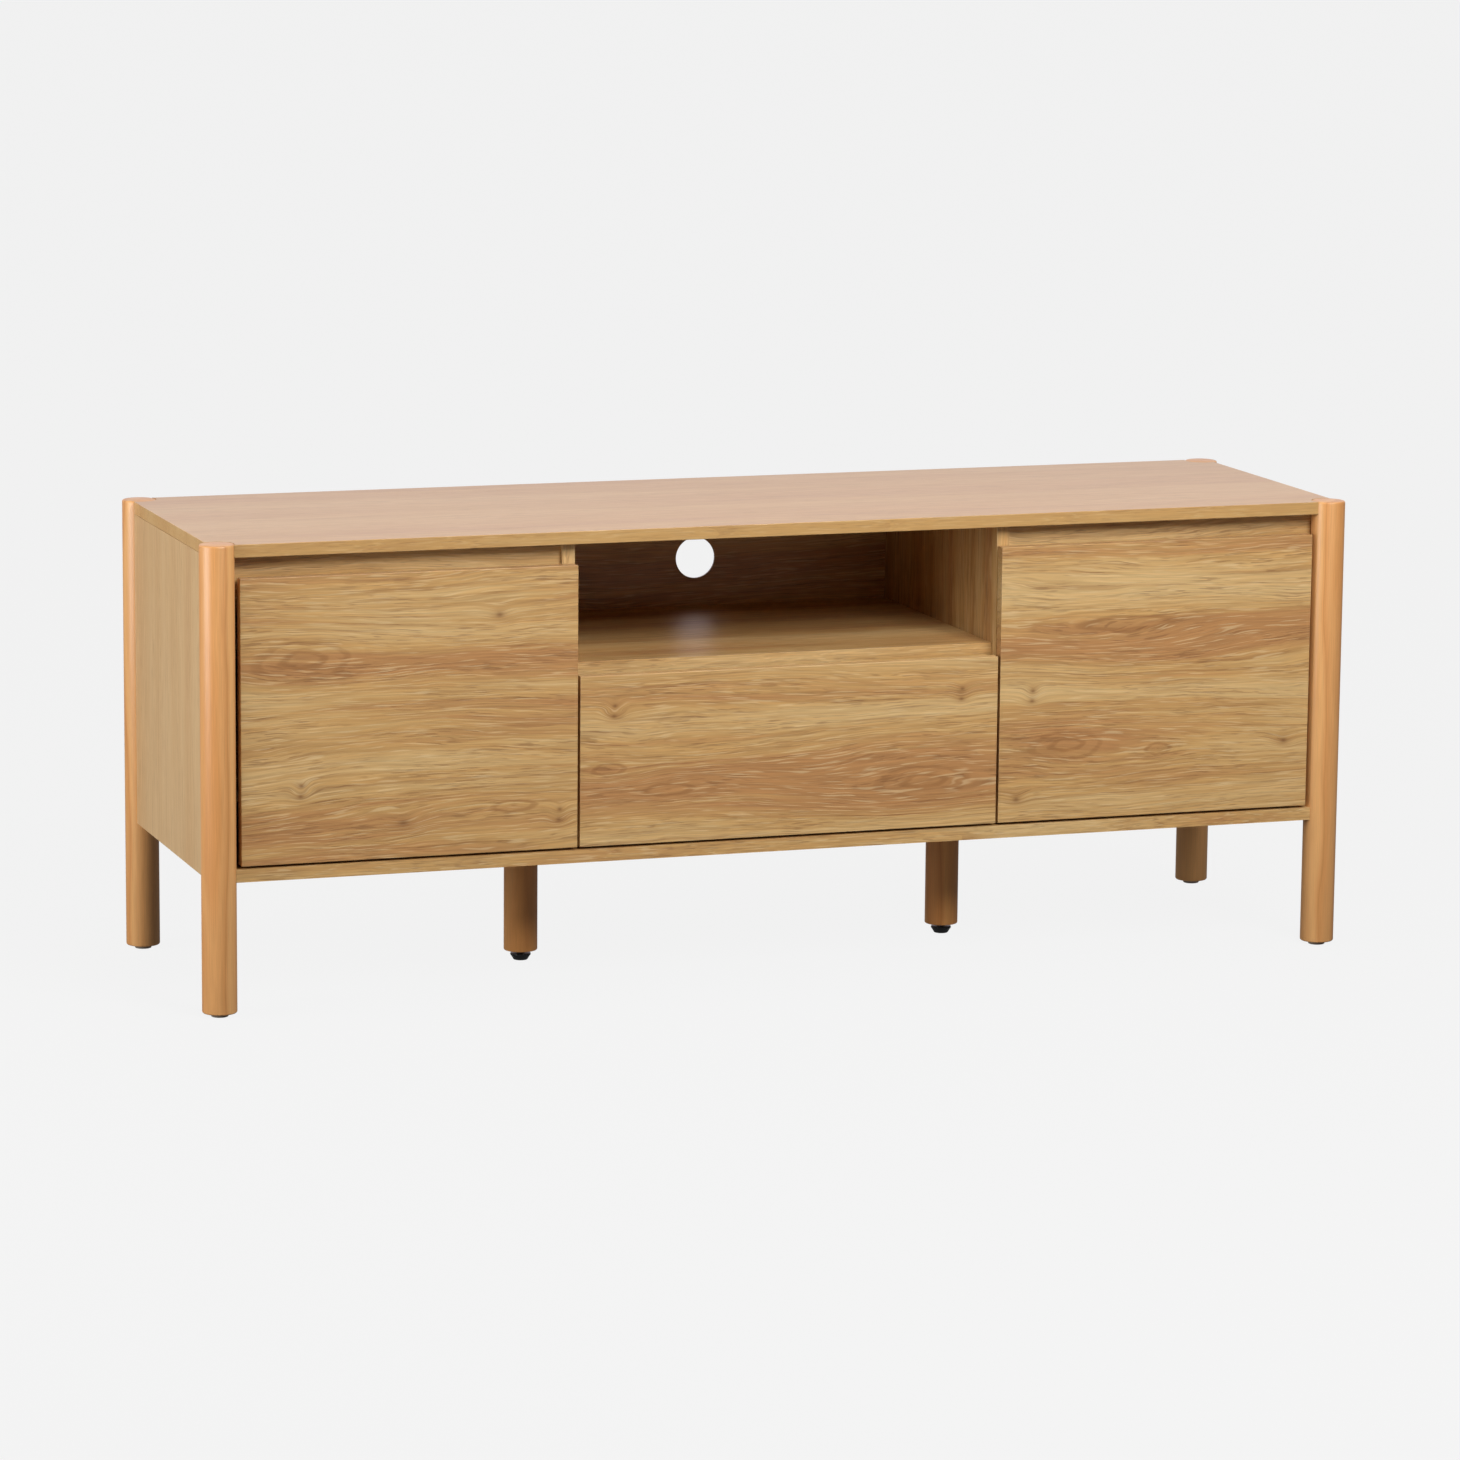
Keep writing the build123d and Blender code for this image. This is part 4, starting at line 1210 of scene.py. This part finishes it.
# ---- studio ----
@dataclass(frozen=True)
class Lamp:
    """A square softbox: its heading and height round the cabinet, its distance, its side and its power."""

    name: str
    azimuth: float
    elevation: float
    distance: float
    side: float
    power: float
    aim: tuple[float, float, float] = (0.0, 0.0, 0.3)

    def build(self) -> None:
        """Makes the lamp; azimuth 0 stands in front, 90 at the right."""
        data = bpy.data.lights.new(self.name, "AREA")
        data.energy = self.power
        data.size = self.side
        lamp = place_new(self.name, data)
        turn, rise = math.radians(self.azimuth), math.radians(self.elevation)
        level = Vector((math.sin(turn), -math.cos(turn), 0.0))
        towards = level * math.cos(rise) + Z_AXIS * math.sin(rise)
        lamp.location = Vector(self.aim) + towards * self.distance
        lamp.rotation_mode = "QUATERNION"
        lamp.rotation_quaternion = towards.to_track_quat("Z", "Y")


@dataclass
class Studio:
    """Camera, pale floor and soft light."""

    eye: tuple[float, float, float] = (-2.18977, -6.34763, 1.46707)
    yaw: float = 18.980
    pitch: float = 10.168
    roll: float = 0.520
    lens: float = 140.906
    floor_size: float = 400.0
    floor_glow: float = 0.876
    floor_glow_as_light: float = 0.15
    floor_grey: float = 0.02
    lamps: tuple[Lamp, ...] = (
        Lamp("key_softbox", 12.0, 37.0, 3.2, 1.4, 96.0),
        Lamp("left_softbox", -80.0, 12.0, 2.8, 1.5, 52.0),
        Lamp("overhead_softbox", 15.0, 84.0, 3.0, 1.8, 22.0),
    )
    dim: float = 0.035
    backdrop: float = 0.887
    gloss_front: float = 0.18
    gloss_rear: float = 1.0
    rose: tuple[float, float, float, float] = (1.0, 0.90, 0.97, 1.0)

    def camera(self) -> None:
        """Sets the camera by its place, heading, fall and tilt."""
        turn, fall, tilt = (math.radians(a) for a in (self.yaw, self.pitch, self.roll))
        ahead = Vector((math.sin(turn), math.cos(turn), 0.0)) * math.cos(fall) - Z_AXIS * math.sin(fall)
        right = Vector((math.cos(turn), -math.sin(turn), 0.0))
        up = right.cross(ahead)
        across = math.cos(tilt) * right + math.sin(tilt) * up
        upward = -math.sin(tilt) * right + math.cos(tilt) * up
        data = bpy.data.cameras.new("camera")
        data.sensor_width = 36.0
        data.lens = self.lens
        data.clip_start, data.clip_end = 0.1, 1000.0
        camera = place_new("camera", data)
        turned = Matrix((across, upward, -ahead)).transposed().to_4x4()
        camera.matrix_world = Matrix.Translation(self.eye) @ turned
        bpy.context.scene.camera = camera

    def floor(self) -> None:
        """Lays a wide pale floor whose own faint glow keeps the shadows light."""
        mesh = bpy.data.meshes.new("floor")
        shape = bmesh.new()
        bmesh.ops.create_grid(shape, x_segments=1, y_segments=1, size=self.floor_size / 2)
        shape.to_mesh(mesh)
        shape.free()
        floor = place_new("floor", mesh)
        made = bpy.data.materials.new("studio_floor")
        made.use_nodes = True
        tree = made.node_tree
        tree.nodes.clear()
        paint = add(tree, "BsdfDiffuse", None, {"Color": (self.floor_grey,) * 3 + (1.0,)})
        path = add(tree, "LightPath")
        strength = add(tree, "Mix", {"Factor": path.outputs["Is Camera Ray"]},
                       {2: self.floor_glow_as_light, 3: self.floor_glow}, data_type="FLOAT").outputs[0]
        glow = add(tree, "Emission", {"Strength": strength}, {"Color": (1.0, 1.0, 1.0, 1.0)})
        both = add(tree, "AddShader", {0: paint.outputs[0], 1: glow.outputs[0]})
        out = tree.nodes.new("ShaderNodeOutputMaterial")
        tree.links.new(both.outputs[0], out.inputs[0])
        mesh.materials.append(made)

    def world(self) -> None:
        """A pale backdrop, bright with a touch of rose behind the cabinet, dim in front and as a light."""
        world = bpy.data.worlds.new("backdrop")
        world.use_nodes = True
        tree = world.node_tree
        tree.nodes.clear()
        path = add(tree, "LightPath")
        way = add(tree, "SeparateXYZ", {0: add(tree, "TexCoord").outputs["Generated"]}).outputs[1]
        strength = remap(tree, way, 0.1, 0.8, self.gloss_front, self.gloss_rear, "SMOOTHSTEP")
        for ray, level in (("Is Diffuse Ray", self.dim), ("Is Camera Ray", self.backdrop)):
            strength = add(tree, "Mix", {"Factor": path.outputs[ray], "A": strength}, {3: level},
                           data_type="FLOAT").outputs[0]
        colour = add(tree, "Mix", {"Factor": path.outputs["Is Glossy Ray"]}, {6: (1.0,) * 4, 7: self.rose},
                     data_type="RGBA").outputs[2]
        back = add(tree, "Background", {"Strength": strength, "Color": colour})
        out = tree.nodes.new("ShaderNodeOutputWorld")
        tree.links.new(back.outputs[0], out.inputs[0])
        bpy.context.scene.world = world

    def build(self) -> None:
        """Sets up the whole studio."""
        self.camera()
        self.floor()
        self.world()
        for lamp in self.lamps:
            lamp.build()
        bpy.context.scene.view_settings.view_transform = "Standard"
        bpy.context.scene.view_settings.look = "None"


def main() -> None:
    """Builds the cabinet sub-assembly by sub-assembly, then the studio."""
    logging.basicConfig(level=logging.INFO, format="%(name)s: %(message)s")
    for assembly in (Posts(), Carcass(), Doors(), Drawer(), LevellingFeet(), Studio()):
        assembly.build()
        LOG.info("%s done", type(assembly).__name__)


if __name__ == "__main__":
    main()
